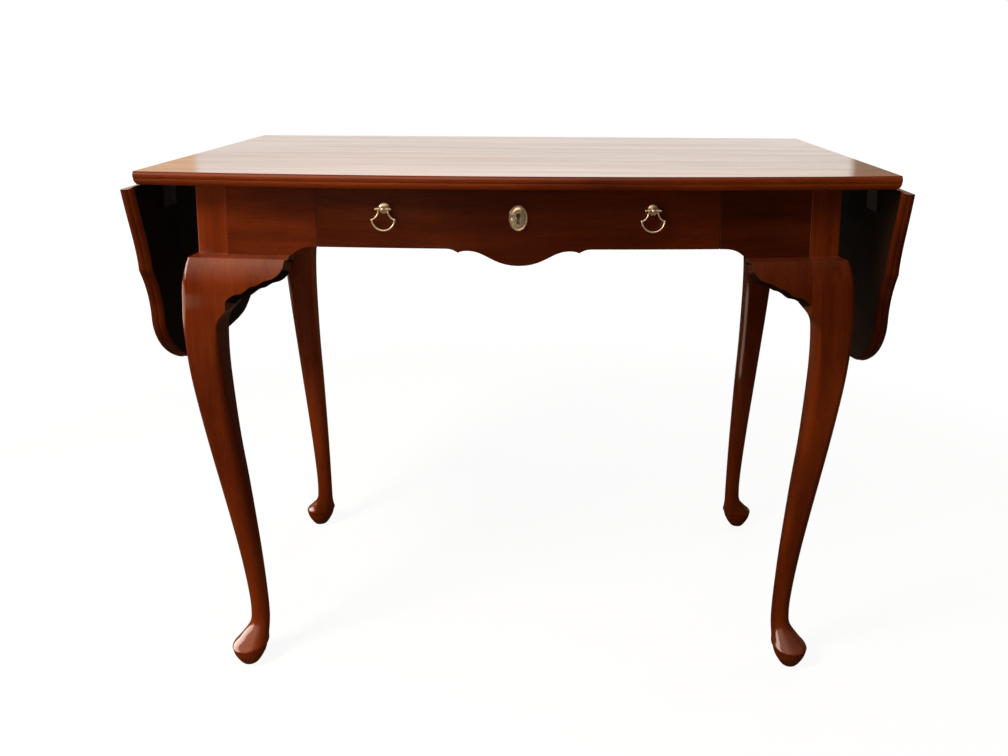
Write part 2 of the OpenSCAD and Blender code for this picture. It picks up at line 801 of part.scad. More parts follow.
// Turns what belongs to a raised leaf down to where the leaf hangs
module hanging(left) {
    on_side(left) translate([pin_x, 0, pin_z]) rotate([0, 90, 0])
        translate([-pin_x, 0, -pin_z]) children();
}

module hinge_plates_left() {
    color(brass) on_side(true) hinge_pair() hinge_plate(-1);
}

module hinge_plates_right() {
    color(brass) on_side(false) hinge_pair() hinge_plate(-1);
}

module hinge_pins(left) {
    color(steel) on_side(left) hinge_pair() translate([0, -hinge_len / 2, 0])
        rotate([-90, 0, 0]) cylinder(r = pin_r, h = hinge_len, $fn = round_fn);
}

module hinge_pins_left() {
    hinge_pins(true);
}

module hinge_pins_right() {
    hinge_pins(false);
}

module hinge_screws(left) {
    color(brass) on_side(left) hinge_pair() hinge_screw_set(-1)
        wood_screw(hinge_screw_d, hinge_screw_head, hinge_screw_len);
}

module hinge_screws_left() {
    hinge_screws(true);
}

module hinge_screws_right() {
    hinge_screws(false);
}

module hinge_leaf_plates_left() {
    color(brass) hanging(true) hinge_pair() hinge_plate(1);
}

module hinge_leaf_plates_right() {
    color(brass) hanging(false) hinge_pair() hinge_plate(1);
}

module hinge_leaf_screws(left) {
    color(brass) hanging(left) hinge_pair() hinge_screw_set(1)
        wood_screw(hinge_screw_d, hinge_screw_head, hinge_screw_len);
}

module hinge_leaf_screws_left() {
    hinge_leaf_screws(true);
}

module hinge_leaf_screws_right() {
    hinge_leaf_screws(false);
}

// Leaf outline: reach from the joint and distance in from the leaf's widest line
leaf_half = (top_d - top_bow) / 2;
cusp = [0.418 * leaf_len, cusp_in];
waist = [0.684 * leaf_len, waist_in];
shoulder = [0.975 * leaf_len, 0.55 * leaf_half];
leaf_side = concat(
    curve([0, 0], [0.16 * leaf_len, 0.36 * cusp_in], [0.3 * leaf_len, 0.92 * cusp_in],
        cusp, 7),
    curve(cusp, cusp + [0.06 * leaf_len, 12], waist - [0.12 * leaf_len, 2], waist, 6),
    curve(waist, waist + [0.13 * leaf_len, 4], shoulder - [0.05 * leaf_len, 40],
        shoulder, 7),
    curve(shoulder, shoulder + [0.018 * leaf_len, 20], [leaf_len, 0.74 * leaf_half],
        [leaf_len, leaf_half], 4));
leaf_outline = concat([for (p = leaf_side) [p[0], p[1] - leaf_half]],
    [[leaf_len, 0]],
    reversed([for (p = leaf_side) [p[0], leaf_half - p[1]]]));

function left_of(a, b) = let (d = b - a) [-d[1], d[0]] / norm(d);

// The leaf's outline at one depth: its moulded edge set in, its joint edge hollowed out
function leaf_ring(in, depth) = let (n = len(leaf_outline),
    joint_x = leaf_gap - joint_in(depth))
    [for (k = [0:n - 1]) let (p = leaf_outline[k])
        k == 0 ? [joint_x, p[1] + in, -depth]
        : k == n - 1 ? [joint_x, p[1] - in, -depth]
        : let (u = left_of(leaf_outline[k - 1], p), v = left_of(p, leaf_outline[k + 1]),
            q = p + in * (u + v) / (1 + u * v)) [q[0], q[1], -depth]];

module leaf(left) {
    color(mahogany) hanging(left) difference() {
        translate([top_w / 2, leaf_mid_y, table_h])
            loft([for (p = reversed(edge_profile)) leaf_ring(p[0], p[1])]);
        hinge_screw_holes(1);
    }
}

module leaf_left() {
    leaf(true);
}

module leaf_right() {
    leaf(false);
}

// The drawer front's lower edge, from its middle to its right-hand end
drop_bottom = apron_z - drop_h;
drop_cusp = [0.835 * drop_half, apron_z - 0.23 * drop_h];
drop_rise = [0.675 * drop_half, apron_z - 0.12 * drop_h];
drop_edge = concat(
    curve([0, drop_bottom], [0.347 * drop_half, drop_bottom],
        drop_rise - [0.225 * drop_half, 1.2], drop_rise, 10),
    curve(drop_rise, drop_rise + [0.06 * drop_half, 0.4], drop_cusp + [-4, 2.4],
        drop_cusp, 4),
    curve(drop_cusp, drop_cusp + [4, 2.4], [0.92 * drop_half, apron_z],
        [drop_half, apron_z], 4),
    [[drop_half, apron_z], [drawer_w / 2, apron_z]]);

keyhole_r = 3;
keyhole_up = 4;
keyhole_down = 8;
// Keyhole outline that runs through the drawer front, grown by a small margin
module keyhole(y0, y1, grow) {
    translate([0, y1, plate_z]) rotate([90, 0, 0]) linear_extrude(y1 - y0) {
        translate([0, keyhole_up]) circle(r = keyhole_r + grow, $fn = round_fn);
        polygon([[-keyhole_r / 2 - grow, keyhole_up], [-keyhole_r * 0.87 - grow,
            -keyhole_down - grow], [keyhole_r * 0.87 + grow, -keyhole_down - grow],
            [keyhole_r / 2 + grow, keyhole_up]]);
    }
}

// The frame of a pull: its origin on the drawer's face at the pivot's height, -Y outwards
module at_pull(left) {
    on_side(left) translate([pull_x, bow_y(pull_x, front_overhang), pull_z])
        rotate([0, 0, bow_angle]) children();
}

module drawer_front() {
    color(mahogany) difference() {
        intersection() {
            bow_band(front_overhang, front_back_set, drop_bottom, under_z - drawer_seam);
            upright(concat([for (p = reversed(drop_edge)) [-p[0], p[1]]],
                [for (k = [1:len(drop_edge) - 1]) drop_edge[k]],
                [[drawer_w / 2, under_z - drawer_seam],
                [-drawer_w / 2, under_z - drawer_seam]]), front_y, 0);
        }
        keyhole(front_y, 0, 0.4);
        for (left = [false, true]) at_pull(left) rotate([90, 0, 0])
            cylinder(d = stem_hole_d, h = 4 * apron_t, center = true, $fn = small_fn);
        lock_screw_set() screw_hole(lock_screw_d, lock_screw_head, lock_screw_len);
    }
}

// A drawer side, grooved for the bottom, its end cut to the curved back of the front
module drawer_side(left) {
    color(pale_wood) on_side(left) difference() {
        behind_bow(front_back_set, box_half - side_t, box_half, box_back_y, box_z0, box_z1);
        translate([box_half - side_t - 1, front_y, bottom_z])
            cube([groove + 1, top_d, bottom_t]);
    }
}

module drawer_side_left() {
    drawer_side(true);
}

module drawer_side_right() {
    drawer_side(false);
}

module drawer_back() {
    color(pale_wood) translate([side_t - box_half, box_back_y - side_t, bottom_z + bottom_t])
        cube([2 * (box_half - side_t), side_t, box_z1 - 6 - bottom_z - bottom_t]);
}

module drawer_bottom() {
    half = box_half - side_t + groove - bottom_fit;
    color(pale_wood) behind_bow(front_back_set + bottom_fit, -half, half, box_back_y, bottom_z,
        bottom_z + bottom_t);
}

function oval(a, b, y) = [for (k = [0:35]) [a * cos(10 * k), b * sin(10 * k), y]];
plate_t = 1.4;
plate_rim = 2;
dome_h = 2.2;

// The oval keyhole plate: a raised rim round a low dome
module escutcheon() {
    a = plate_w / 2;
    b = plate_h / 2;
    face_y = bow_y(0, front_overhang);
    color(brass) difference() {
        translate([0, face_y, plate_z]) rotate([90, 0, 0]) loft([
            oval(a, b, 0), oval(a, b, plate_t), oval(a - 0.5, b - 0.5, plate_t + 0.8),
            oval(a - plate_rim + 0.4, b - plate_rim + 0.4, plate_t + 0.8),
            oval(a - plate_rim, b - plate_rim, plate_t),
            oval(0.93 * (a - plate_rim), 0.93 * (b - plate_rim), plate_t + 0.35 * dome_h),
            oval(0.75 * (a - plate_rim), 0.75 * (b - plate_rim), plate_t + 0.7 * dome_h),
            oval(0.45 * (a - plate_rim), 0.45 * (b - plate_rim), plate_t + 0.93 * dome_h),
            oval(0.1 * (a - plate_rim), 0.1 * (b - plate_rim), plate_t + dome_h)]);
        keyhole(front_y, 0, 0);
    }
}

// The lock inside the drawer: a plate on the wood and the box that carries the bolt
module lock_case() {
    box_y = lock_y + lock_plate_t;
    color(brass) difference() {
        union() {
            translate([-lock_w / 2, lock_y, lock_z1 - lock_h])
                cube([lock_w, lock_plate_t, lock_h]);
            translate([-lock_box_w / 2, box_y, lock_z1 - lock_box_h])
                cube([lock_box_w, lock_box_d, lock_box_h]);
        }
        translate([-bolt_w / 2 - bolt_fit, bolt_y - bolt_t / 2 - bolt_fit,
            lock_z1 - bolt_h - bolt_fit])
            cube([bolt_w + 2 * bolt_fit, bolt_t + 2 * bolt_fit, far]);
        translate([0, lock_y - 1, plate_z + keyhole_up]) rotate([-90, 0, 0])
            cylinder(r = keyhole_r, h = lock_plate_t + 2, $fn = round_fn);
        lock_screw_set() screw_hole(lock_screw_d, lock_screw_head, lock_screw_len);
    }
}

// Where the lock's screws go: from inside the drawer towards its front
module lock_screw_set() {
    for (x = [-1, 1]) for (z = [4, lock_h - 4])
        translate([x * (lock_w / 2 - 3.5), lock_y + lock_plate_t, lock_z1 - z])
        rotate([-90, 0, 0]) children();
}

module lock_screws() {
    color(brass) lock_screw_set() wood_screw(lock_screw_d, lock_screw_head, lock_screw_len);
}

module lock_bolt() {
    color(brass) translate([-bolt_w / 2, bolt_y - bolt_t / 2, lock_z1 - bolt_h])
        cube([bolt_w, bolt_t, bolt_h]);
}

rosette_t = 2.4;

module pull_rosettes() {
    r = rosette_d / 2;
    color(brass) for (left = [false, true]) at_pull(left) rotate([90, 0, 0])
        rotate_extrude($fn = round_fn) polygon(concat(
            [[stem_d / 2 + 0.1, 0], [r, 0], [r, 0.7]],
            [for (k = [0:5]) [r - 0.7 - k * 0.55, 0.8 + 0.7 * sin(18 * k) + 0.06 * k]],
            [[stem_d / 2 + 0.1, rosette_t - 0.6]]));
}

// The post that carries a bail: threaded stem, collar, ball and cross pin with ball ends
module pull_posts() {
    color(brass) for (left = [false, true]) at_pull(left) {
        rotate([90, 0, 0]) translate([0, 0, -apron_t - nut_h - 2])
            cylinder(d = stem_d, h = apron_t + nut_h + 2 + bail_reach, $fn = small_fn);
        rotate([90, 0, 0]) translate([0, 0, rosette_t - 0.5])
            cylinder(r1 = 3, r2 = 2.2, h = bail_reach - rosette_t, $fn = small_fn);
        translate([0, -bail_reach, 0]) {
            sphere(r = 3.3, $fn = 32);
            rotate([0, 90, 0]) cylinder(r = pivot_r, h = 2 * (eye_x + eye_w), center = true,
                $fn = small_fn);
            for (s = [-1, 1]) translate([s * (eye_x + eye_w / 2 + end_ball_r + 0.35), 0, 0])
                sphere(r = end_ball_r, $fn = small_fn);
        }
    }
}

module pull_nuts() {
    color(brass) for (left = [false, true]) at_pull(left) rotate([-90, 0, 0])
        translate([0, 0, apron_t + 0.3]) difference() {
            cylinder(d = nut_d, h = nut_h, $fn = 6);
            translate([0, 0, -1]) cylinder(d = stem_d + 0.1, h = nut_h + 2, $fn = small_fn);
        }
}

// A stretch of wire bent to radius bend, from angle a0 to a1 in the XZ plane
module wire_arc(bend, a0, a1) {
    rotate([90, 0, 0]) rotate([0, 0, a0]) rotate_extrude(angle = a1 - a0, $fn = 72)
        translate([bend, 0]) circle(d = wire_d, $fn = 14);
}

// The bail: two eyes, two flared shoulders that end in points, and a round bottom
module bail(left) {
    point_x = bail_w / 2;
    point_z = -bail_h / 2;
    from_z = -eye_r + wire_d / 2 - 0.2;
    dx = point_x - eye_x;
    dz = from_z - point_z;
    flare_r = (dx * dx + dz * dz) / (2 * dx);
    flare_end = 180 + asin(dz / flare_r);
    sag = bail_h + point_z;
    bottom_r = (point_x * point_x + sag * sag) / (2 * sag);
    rest = asin((bail_h - bottom_r + point_z) / bottom_r);
    color(brass) at_pull(left) translate([0, -bail_reach, 0]) {
        for (s = [0, 1]) mirror([s, 0, 0]) {
            translate([eye_x, 0, 0]) rotate([0, 90, 0]) difference() {
                cylinder(r = eye_r, h = eye_w, center = true, $fn = round_fn);
                cylinder(r = pivot_r + pivot_fit, h = 2 * eye_w, center = true, $fn = round_fn);
            }
            translate([eye_x + flare_r, 0, from_z]) wire_arc(flare_r, 180, flare_end);
            translate([point_x, 0, point_z]) sphere(d = wire_d + 0.9, $fn = small_fn);
        }
        translate([0, 0, bottom_r - bail_h]) wire_arc(bottom_r, 180 - rest, 360 + rest);
    }
}

module bail_left() {
    bail(true);
}

module bail_right() {
    bail(false);
}

table_top();
leg_front_left();
leg_front_right();
leg_rear_left();
leg_rear_right();
knee_block_front_left();
knee_block_front_right();
knee_block_back_left();
knee_block_back_right();
knee_block_left_front();
knee_block_left_rear();
knee_block_right_front();
knee_block_right_rear();
side_apron_left();
side_apron_right();
back_apron();
front_panel_left();
front_panel_right();
front_top_rail();
front_bottom_rail();
drawer_runner_left();
drawer_runner_right();
drawer_guide_left();
drawer_guide_right();
drawer_kicker_left();
drawer_kicker_right();
corner_blocks();
top_screws();
loper_guide_left();
loper_guide_right();
loper_left();
loper_right();
loper_stop_pins();
hinge_plates_left();
hinge_plates_right();
hinge_pins_left();
hinge_pins_right();
hinge_screws_left();
hinge_screws_right();
leaf_left();
leaf_right();
hinge_leaf_plates_left();
hinge_leaf_plates_right();
hinge_leaf_screws_left();
hinge_leaf_screws_right();
drawer_front();
drawer_side_left();
drawer_side_right();
drawer_back();
drawer_bottom();
escutcheon();
lock_case();
lock_screws();
lock_bolt();
pull_rosettes();
pull_posts();
pull_nuts();
bail_left();
bail_right();
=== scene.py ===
import math

import bpy
import bmesh
from mathutils import Matrix, Vector


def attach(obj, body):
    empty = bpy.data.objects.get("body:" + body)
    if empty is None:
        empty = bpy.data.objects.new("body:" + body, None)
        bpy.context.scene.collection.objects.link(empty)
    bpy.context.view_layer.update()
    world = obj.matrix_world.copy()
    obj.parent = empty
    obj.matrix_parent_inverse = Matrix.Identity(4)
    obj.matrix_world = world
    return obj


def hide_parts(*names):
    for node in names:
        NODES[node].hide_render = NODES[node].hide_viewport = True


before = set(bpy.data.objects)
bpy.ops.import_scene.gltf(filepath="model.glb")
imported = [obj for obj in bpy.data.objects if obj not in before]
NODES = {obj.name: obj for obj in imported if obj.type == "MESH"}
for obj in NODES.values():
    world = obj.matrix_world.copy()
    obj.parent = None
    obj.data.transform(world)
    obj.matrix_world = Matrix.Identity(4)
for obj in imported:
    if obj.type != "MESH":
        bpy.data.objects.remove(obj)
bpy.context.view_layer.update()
MM = 0.001

# Sizes in millimetres, as in the part's source
TOP_W, TOP_D, TABLE_H, TOP_T, TOP_BOW = 1016.0, 582.0, 750.0, 18.0, 30.0
UNDERCUT, EDGE_STEP = 4.0, 1.7
LEAF_LEN, CUSP_IN, WAIST_IN, LEAF_GAP = 288.0, 39.0, 68.0, 0.4
FRONT_OVER, END_OVER, BACK_OVER = 40.0, 69.0, 42.0
POST_W, POST_H, KNEE_OUT, LEDGE_W = 42.0, 98.0, 21.5, 12.0
ANKLE_D, ANKLE_IN, FOOT_D, FOOT_IN = 26.5, 23.4, 50.5, 12.0
RIM_Z, BASE_D = 28.0, 23.0
BLOCK_LEN, BLOCK_H, APRON_T = 86.0, 76.0, 20.0
BLOCK_SLANT = math.tan(math.radians(17))  # of the blocks' sawn underside
UNDER_Z = TABLE_H - TOP_T
LEDGE_Z = UNDER_Z - POST_H
KNEE_Z = LEDGE_Z - BLOCK_H
TOP_R = ((TOP_W / 2) ** 2 + TOP_BOW ** 2) / (2 * TOP_BOW)
ARC_Y = -TOP_D / 2 + TOP_R
HALF_POST = POST_W / 2
POST_X = TOP_W / 2 - END_OVER - HALF_POST
PIN_IN, PIN_DOWN = 3.0, 3.2
PIN_X, PIN_Z = TOP_W / 2 - PIN_IN, UNDER_Z - PIN_DOWN


def bow_y(x, inset):
    """Depth of the bowed front at x, for an arc that lies inset behind the top's edge."""
    return ARC_Y - math.sqrt((TOP_R - inset) ** 2 - x * x)


POST_YF = bow_y(POST_X, FRONT_OVER) + HALF_POST
POST_YR = TOP_D / 2 - BACK_OVER - HALF_POST
BOW_SLOPE = POST_X / (TOP_R - FRONT_OVER)
FRONT_HALF = POST_X - HALF_POST


# Smooth lines

def mix(points, weights):
    return tuple(sum(w * p[k] for w, p in zip(weights, points)) for k in range(len(points[0])))


def curve(a, b, c, d, n):
    """n points of the Bezier curve from a towards d, without d itself."""
    out = []
    for k in range(n):
        t = k / n
        s = 1 - t
        out.append(mix((a, b, c, d), (s ** 3, 3 * s * s * t, 3 * s * t * t, t ** 3)))
    return out


def between(a, b, c, d, t):
    """A point of the Catmull-Rom span from b to c."""
    return tuple(0.5 * (2 * q + (r - p) * t + (2 * p - 5 * q + 4 * r - s) * t * t
                        + (3 * q - p - 3 * r + s) * t ** 3)
                 for p, q, r, s in zip(a, b, c, d))


def smooth(rows, n):
    """A smooth line through rows, with n steps between two of them."""
    first = mix((rows[0], rows[1]), (2, -1))
    last = mix((rows[-1], rows[-2]), (2, -1))
    ext = [first] + list(rows) + [last]
    out = []
    for k in range(1, len(rows)):
        for j in range(n):
            out.append(between(ext[k - 1], ext[k], ext[k + 1], ext[k + 2], j / n))
    return out + [tuple(rows[-1])]


# Mesh pieces

BEVEL_SEGMENTS = 3


def add_mesh(name, points, faces, body, materials, replaces=(), crease=30, bevel=None,
             face_material=None):
    """A piece from points in millimetres; it rides on a body and may stand for CAD nodes."""
    mesh = bpy.data.meshes.new(name)
    mesh.from_pydata([Vector(p) * MM for p in points], [], faces)
    bm = bmesh.new()
    bm.from_mesh(mesh)
    bmesh.ops.recalc_face_normals(bm, faces=bm.faces)
    bm.to_mesh(mesh)
    bm.free()
    for m in materials:
        mesh.materials.append(m)
    for p in mesh.polygons:
        p.use_smooth = True
        if face_material:
            p.material_index = face_material(p)
    mesh.set_sharp_from_angle(angle=math.radians(crease))
    obj = bpy.data.objects.new(name, mesh)
    bpy.context.scene.collection.objects.link(obj)
    if bevel:
        add_bevel(obj, bevel, crease)
    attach(obj, body)
    if replaces:
        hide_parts(*replaces)
    return obj


def add_bevel(obj, width_mm, angle):
    mod = obj.modifiers.new("edges", "BEVEL")
    mod.width = width_mm * MM
    mod.segments = BEVEL_SEGMENTS
    mod.limit_method = "ANGLE"
    mod.angle_limit = math.radians(angle)
    mod.use_clamp_overlap = False
    mod.harden_normals = True
    mod.miter_outer = "MITER_ARC"


def loft(rings):
    """Points and faces of a closed solid through rings of equal length."""
    n, m = len(rings[0]), len(rings)
    points = [p for ring in rings for p in ring]
    faces = [tuple(range(n))[::-1]]
    for k in range(m - 1):
        for j in range(n):
            i = (j + 1) % n
            faces.append((k * n + j, k * n + i, (k + 1) * n + i, (k + 1) * n + j))
    faces.append(tuple((m - 1) * n + j for j in range(n)))
    return points, faces


# Materials

class Nodes:
    """Short calls for a shader's node tree."""

    def __init__(self, tree):
        self.tree = tree
        tree.nodes.clear()

    def add(self, kind, props=None, **inputs):
        node = self.tree.nodes.new(kind)
        for key, value in (props or {}).items():
            setattr(node, key, value)
        for key, value in inputs.items():
            self.put(node, key.replace("_", " "), value)
        return node

    def put(self, node, socket, value):
        if socket.isdigit():
            socket = int(socket)
        target = node.inputs[socket]
        if isinstance(value, bpy.types.NodeSocket):
            self.tree.links.new(value, target)
        else:
            target.default_value = value

    def math(self, op, a, b=0.0, clamp=False):
        node = self.add("ShaderNodeMath", {"operation": op, "use_clamp": clamp})
        self.put(node, "0", a)
        self.put(node, "1", b)
        return node.outputs[0]

    def mix(self, factor, a, b):
        node = self.add("ShaderNodeMix", {"data_type": "RGBA"})
        self.put(node, "0", factor)
        self.put(node, "6", a)
        self.put(node, "7", b)
        return node.outputs[2]

    def ramp(self, factor, stops):
        node = self.add("ShaderNodeValToRGB")
        self.put(node, "0", factor)
        ramp = node.color_ramp
        while len(ramp.elements) < len(stops):
            ramp.elements.new(0.5)
        for element, (place, colour) in zip(ramp.elements, stops):
            element.position = place
            element.color = (*colour, 1) if len(colour) == 3 else colour
        return node.outputs[0]

    def noise(self, vector, scale, detail=3.0, rough=0.55, distortion=0.0):
        node = self.add("ShaderNodeTexNoise", Vector=vector, Scale=scale, Detail=detail,
                        Roughness=rough, Distortion=distortion)
        return node.outputs[0]

    def grain(self, vector, scale, *rest):
        return self.noise(self.stretch(vector, scale), 1.0, *rest)

    def stretch(self, vector, scale, place=(0, 0, 0), turn=(0, 0, 0)):
        node = self.add("ShaderNodeMapping", Vector=vector, Location=place, Rotation=turn,
                        Scale=scale)
        return node.outputs[0]

    def step(self, value, low, high):
        """0 below low, 1 above high and a smooth rise between; falls where low is higher."""
        node = self.add("ShaderNodeMapRange", {"interpolation_type": "SMOOTHSTEP"})
        self.put(node, "Value", value)
        self.put(node, "From Min", low)
        self.put(node, "From Max", high)
        return node.outputs[0]

    def bump(self, strength, depth, height):
        node = self.add("ShaderNodeBump", Strength=strength, Distance=depth, Height=height)
        return node.outputs[0]

    def blend(self, share, a, b):
        node = self.add("ShaderNodeMixShader")
        self.put(node, "0", share)
        self.put(node, "1", a.outputs[0])
        self.put(node, "2", b.outputs[0])
        return node


class Material(Nodes):
    """A new material, returned by its last call."""

    def __init__(self, name):
        self.mat = bpy.data.materials.new(name)
        self.mat.use_nodes = True
        super().__init__(self.mat.node_tree)

    def finish(self, shader):
        out = self.add("ShaderNodeOutputMaterial")
        self.tree.links.new(shader.outputs[0], out.inputs[0])
        return self.mat


TURNS = {"x": (0, 0, 0), "y": (0, 0, math.radians(-90)), "z": (0, math.radians(90), 0)}
MAHOGANY = ((0.046, 0.0050, 0.0006), (0.108, 0.0138, 0.0013), (0.170, 0.0245, 0.0024),
            (0.250, 0.0405, 0.0044))
PALE = ((0.22, 0.12, 0.055), (0.36, 0.21, 0.105), (0.45, 0.28, 0.15), (0.52, 0.34, 0.19))
# A near-black palette for painted shade.
SHADOW_PALETTE = ((0.004, 0.0020, 0.0012), (0.008, 0.0036, 0.0020), (0.013, 0.0055, 0.0028),
           (0.018, 0.0080, 0.0040))
TONE_STOPS = (0.26, 0.44, 0.58, 0.76)
SEED_SHIFT, BEND_SHIFT = (1.37, 0.71, 2.13), (0.0, 0.05, 0.05)
# Noises: scale along the grain and across it, detail, roughness, distortion
BEND = ((2.0, 4, 4), 2.0)
FIGURE = ((3.0, 7, 7), 3.0, 0.5, 0.8)
STRIPES = ((1.6, 46, 46), 5.0, 0.62, 0.3)
FIBRES = ((9, 420, 420), 4.0, 0.65)
PORES = ((40, 1150, 1150), 2.0, 0.5)
WAVES = ((3, 14, 14), 2.0)
SMEARS = (6.5, 4.0, 0.6)
STRIPE_SHARE, FIGURE_SHARE, FIBRE_SHARE = 0.40, 0.60, 0.26
MEAN, STRIPE_MEAN = 0.5, 0.42
PORE_STOPS = [(0.0, (1, 1, 1)), (0.30, (1, 1, 1)), (0.42, (0, 0, 0))]
# Bumps: strength, and depth in metres
GRAIN_BUMP, COAT_BUMP, METAL_BUMP = (0.2, 0.0003), (0.06, 0.0008), (0.05, 0.0002)
FIBRE_RELIEF, COAT_DENT = 0.5, 0.10
FIBRE_ROUGH, LEAST_SMEAR = 0.2, 0.3
LOW_SPECULAR, USUAL_SPECULAR = 0.08, 0.5


def wood(name, grain, palette, seed, tone=1.0, coat=1.0, gloss=0.05, rough=0.42, pores=0.5,
         streaks=0.0):
    """Straight-grained wood: broad stripes, fine fibres and dark pores along the grain.

    The streaks weaken the coat along the darker stripes, so a mirrored wall breaks up.
    """
    n = Material(name)
    place = n.add("ShaderNodeTexCoord").outputs["Object"]
    shift = tuple(seed * c for c in SEED_SHIFT)
    along = n.stretch(place, (1, 1, 1), shift, TURNS[grain])
    bent = n.add("ShaderNodeVectorMath", {"operation": "MULTIPLY_ADD"})
    n.put(bent, "0", n.grain(along, *BEND))
    n.put(bent, "1", BEND_SHIFT)
    n.put(bent, "2", along)
    line = bent.outputs[0]
    stripes, figure = n.grain(line, *STRIPES), n.grain(line, *FIGURE)
    fibres, waves = n.grain(line, *FIBRES), n.grain(line, *WAVES)
    pore = n.ramp(n.grain(line, *PORES), PORE_STOPS)
    smear = n.noise(place, *SMEARS)

    shade = n.math("ADD", n.math("MULTIPLY", stripes, STRIPE_SHARE),
                   n.math("MULTIPLY", figure, FIGURE_SHARE))
    shade = n.math("ADD", shade,
                   n.math("MULTIPLY", n.math("SUBTRACT", fibres, MEAN), FIBRE_SHARE))
    tinted = [tuple(tone * c for c in row) for row in palette]
    colour = n.ramp(shade, list(zip(TONE_STOPS, tinted)))
    colour = n.mix(n.math("MULTIPLY", pore, pores), colour, (*tinted[0], 1))

    shader = n.add("ShaderNodeBsdfPrincipled")
    n.put(shader, "Base Color", colour)
    n.put(shader, "Specular IOR Level", LOW_SPECULAR)
    n.put(shader, "Roughness", n.math("ADD", n.math("MULTIPLY", fibres, FIBRE_ROUGH),
                                      rough - MEAN * FIBRE_ROUGH))
    relief = n.math("SUBTRACT", n.math("MULTIPLY", fibres, FIBRE_RELIEF), pore)
    n.put(shader, "Normal", n.bump(*GRAIN_BUMP, relief))
    n.put(shader, "Coat Weight", n.math("SUBTRACT", coat + STRIPE_MEAN * streaks,
                                        n.math("MULTIPLY", stripes, streaks), clamp=True))
    n.put(shader, "Coat Roughness", n.math("ADD", n.math("MULTIPLY", smear, gloss),
                                           gloss * LEAST_SMEAR))
    relief = n.math("SUBTRACT", waves, n.math("MULTIPLY", pore, COAT_DENT))
    n.put(shader, "Coat Normal", n.bump(*COAT_BUMP, relief))
    return n.finish(shader)


FILM, FINE = (160.0, 4.0, 0.62), (900.0, 3.0)
FILM_STOPS = [(0.42, (0, 0, 0)), (0.72, (1, 1, 1))]
DULL_SHARE, FILM_ROUGH = 0.55, 0.16
# Painted shade on the walls of holes and rims: how far a wall may face forwards, and the dark
# tone painted on it.
WALL_SLOPE, WALL_SHADE_TONE = 0.35, (0.012, 0.008, 0.004, 1)


def metal(name, bright, dull, rough, metallic=1.0, specular=USUAL_SPECULAR,
          shade_walls=False):
    """Polished metal with faint smears and a duller film in patches.

    Where asked, the walls of holes and rims in a piece that faces forwards get painted shade.
    """
    n = Material(name)
    place = n.add("ShaderNodeTexCoord").outputs["Object"]
    film, fine = n.ramp(n.noise(place, *FILM), FILM_STOPS), n.noise(place, *FINE)
    colour = n.mix(n.math("MULTIPLY", film, DULL_SHARE), (*bright, 1), (*dull, 1))
    # Painted shade: faces that do not look forwards are darkened.
    if shade_walls:
        facing = n.add("ShaderNodeSeparateXYZ",
                       Vector=n.add("ShaderNodeNewGeometry").outputs["True Normal"])
        wall = n.math("LESS_THAN", n.math("ABSOLUTE", facing.outputs["Y"]), WALL_SLOPE)
        colour = n.mix(wall, colour, WALL_SHADE_TONE)
    shader = n.add("ShaderNodeBsdfPrincipled", Metallic=metallic)
    n.put(shader, "Base Color", colour)
    n.put(shader, "Specular IOR Level", specular)
    n.put(shader, "Roughness", n.math("ADD", n.math("MULTIPLY", film, FILM_ROUGH),
                                      n.math("MULTIPLY", fine, rough)))
    n.put(shader, "Normal", n.bump(*METAL_BUMP, film))
    return n.finish(shader)


TOP_WOOD = wood("top_mahogany", "x", MAHOGANY, 1.0, gloss=0.03, streaks=0.9)
LEAF_WOOD = wood("leaf_mahogany", "z", MAHOGANY, 2.0, tone=0.62, coat=0.6, gloss=0.04)
FRONT_WOOD = wood("drawer_mahogany", "x", MAHOGANY, 3.0, tone=0.50)
# Lit and shaded copies of one wood: the left front panel is painted lighter and the right one
# darker, as painted light and painted shade from a lamp at the left.
LIT_PANEL_WOOD = wood("lit_panel_mahogany_left", "x", MAHOGANY, 4.0, tone=0.80)
SHADED_PANEL_WOOD = wood("shaded_panel_mahogany_right", "x", MAHOGANY, 5.0, tone=0.36)
SIDE_WOOD = wood("side_mahogany", "y", MAHOGANY, 6.0, tone=0.8)
# Lit and shaded copies of one wood: the left legs are painted lighter and the right legs darker,
# as painted light and painted shade from a lamp at the left.
LIT_LEG_WOOD = wood("leg_mahogany", "z", MAHOGANY, 7.0, tone=1.12)
SHADED_LEG_WOOD = wood("shaded_leg_mahogany_right", "z", MAHOGANY, 14.0, tone=0.80)
# Lit and shaded copies of one wood: the blocks at the left are painted lighter and those at the
# right darker, as painted light and painted shade from a lamp at the left.
LIT_BLOCK_WOOD = wood("block_mahogany", "z", MAHOGANY, 8.0)
SHADED_BLOCK_WOOD = wood("shaded_block_mahogany_right", "z", MAHOGANY, 15.0, tone=0.58)
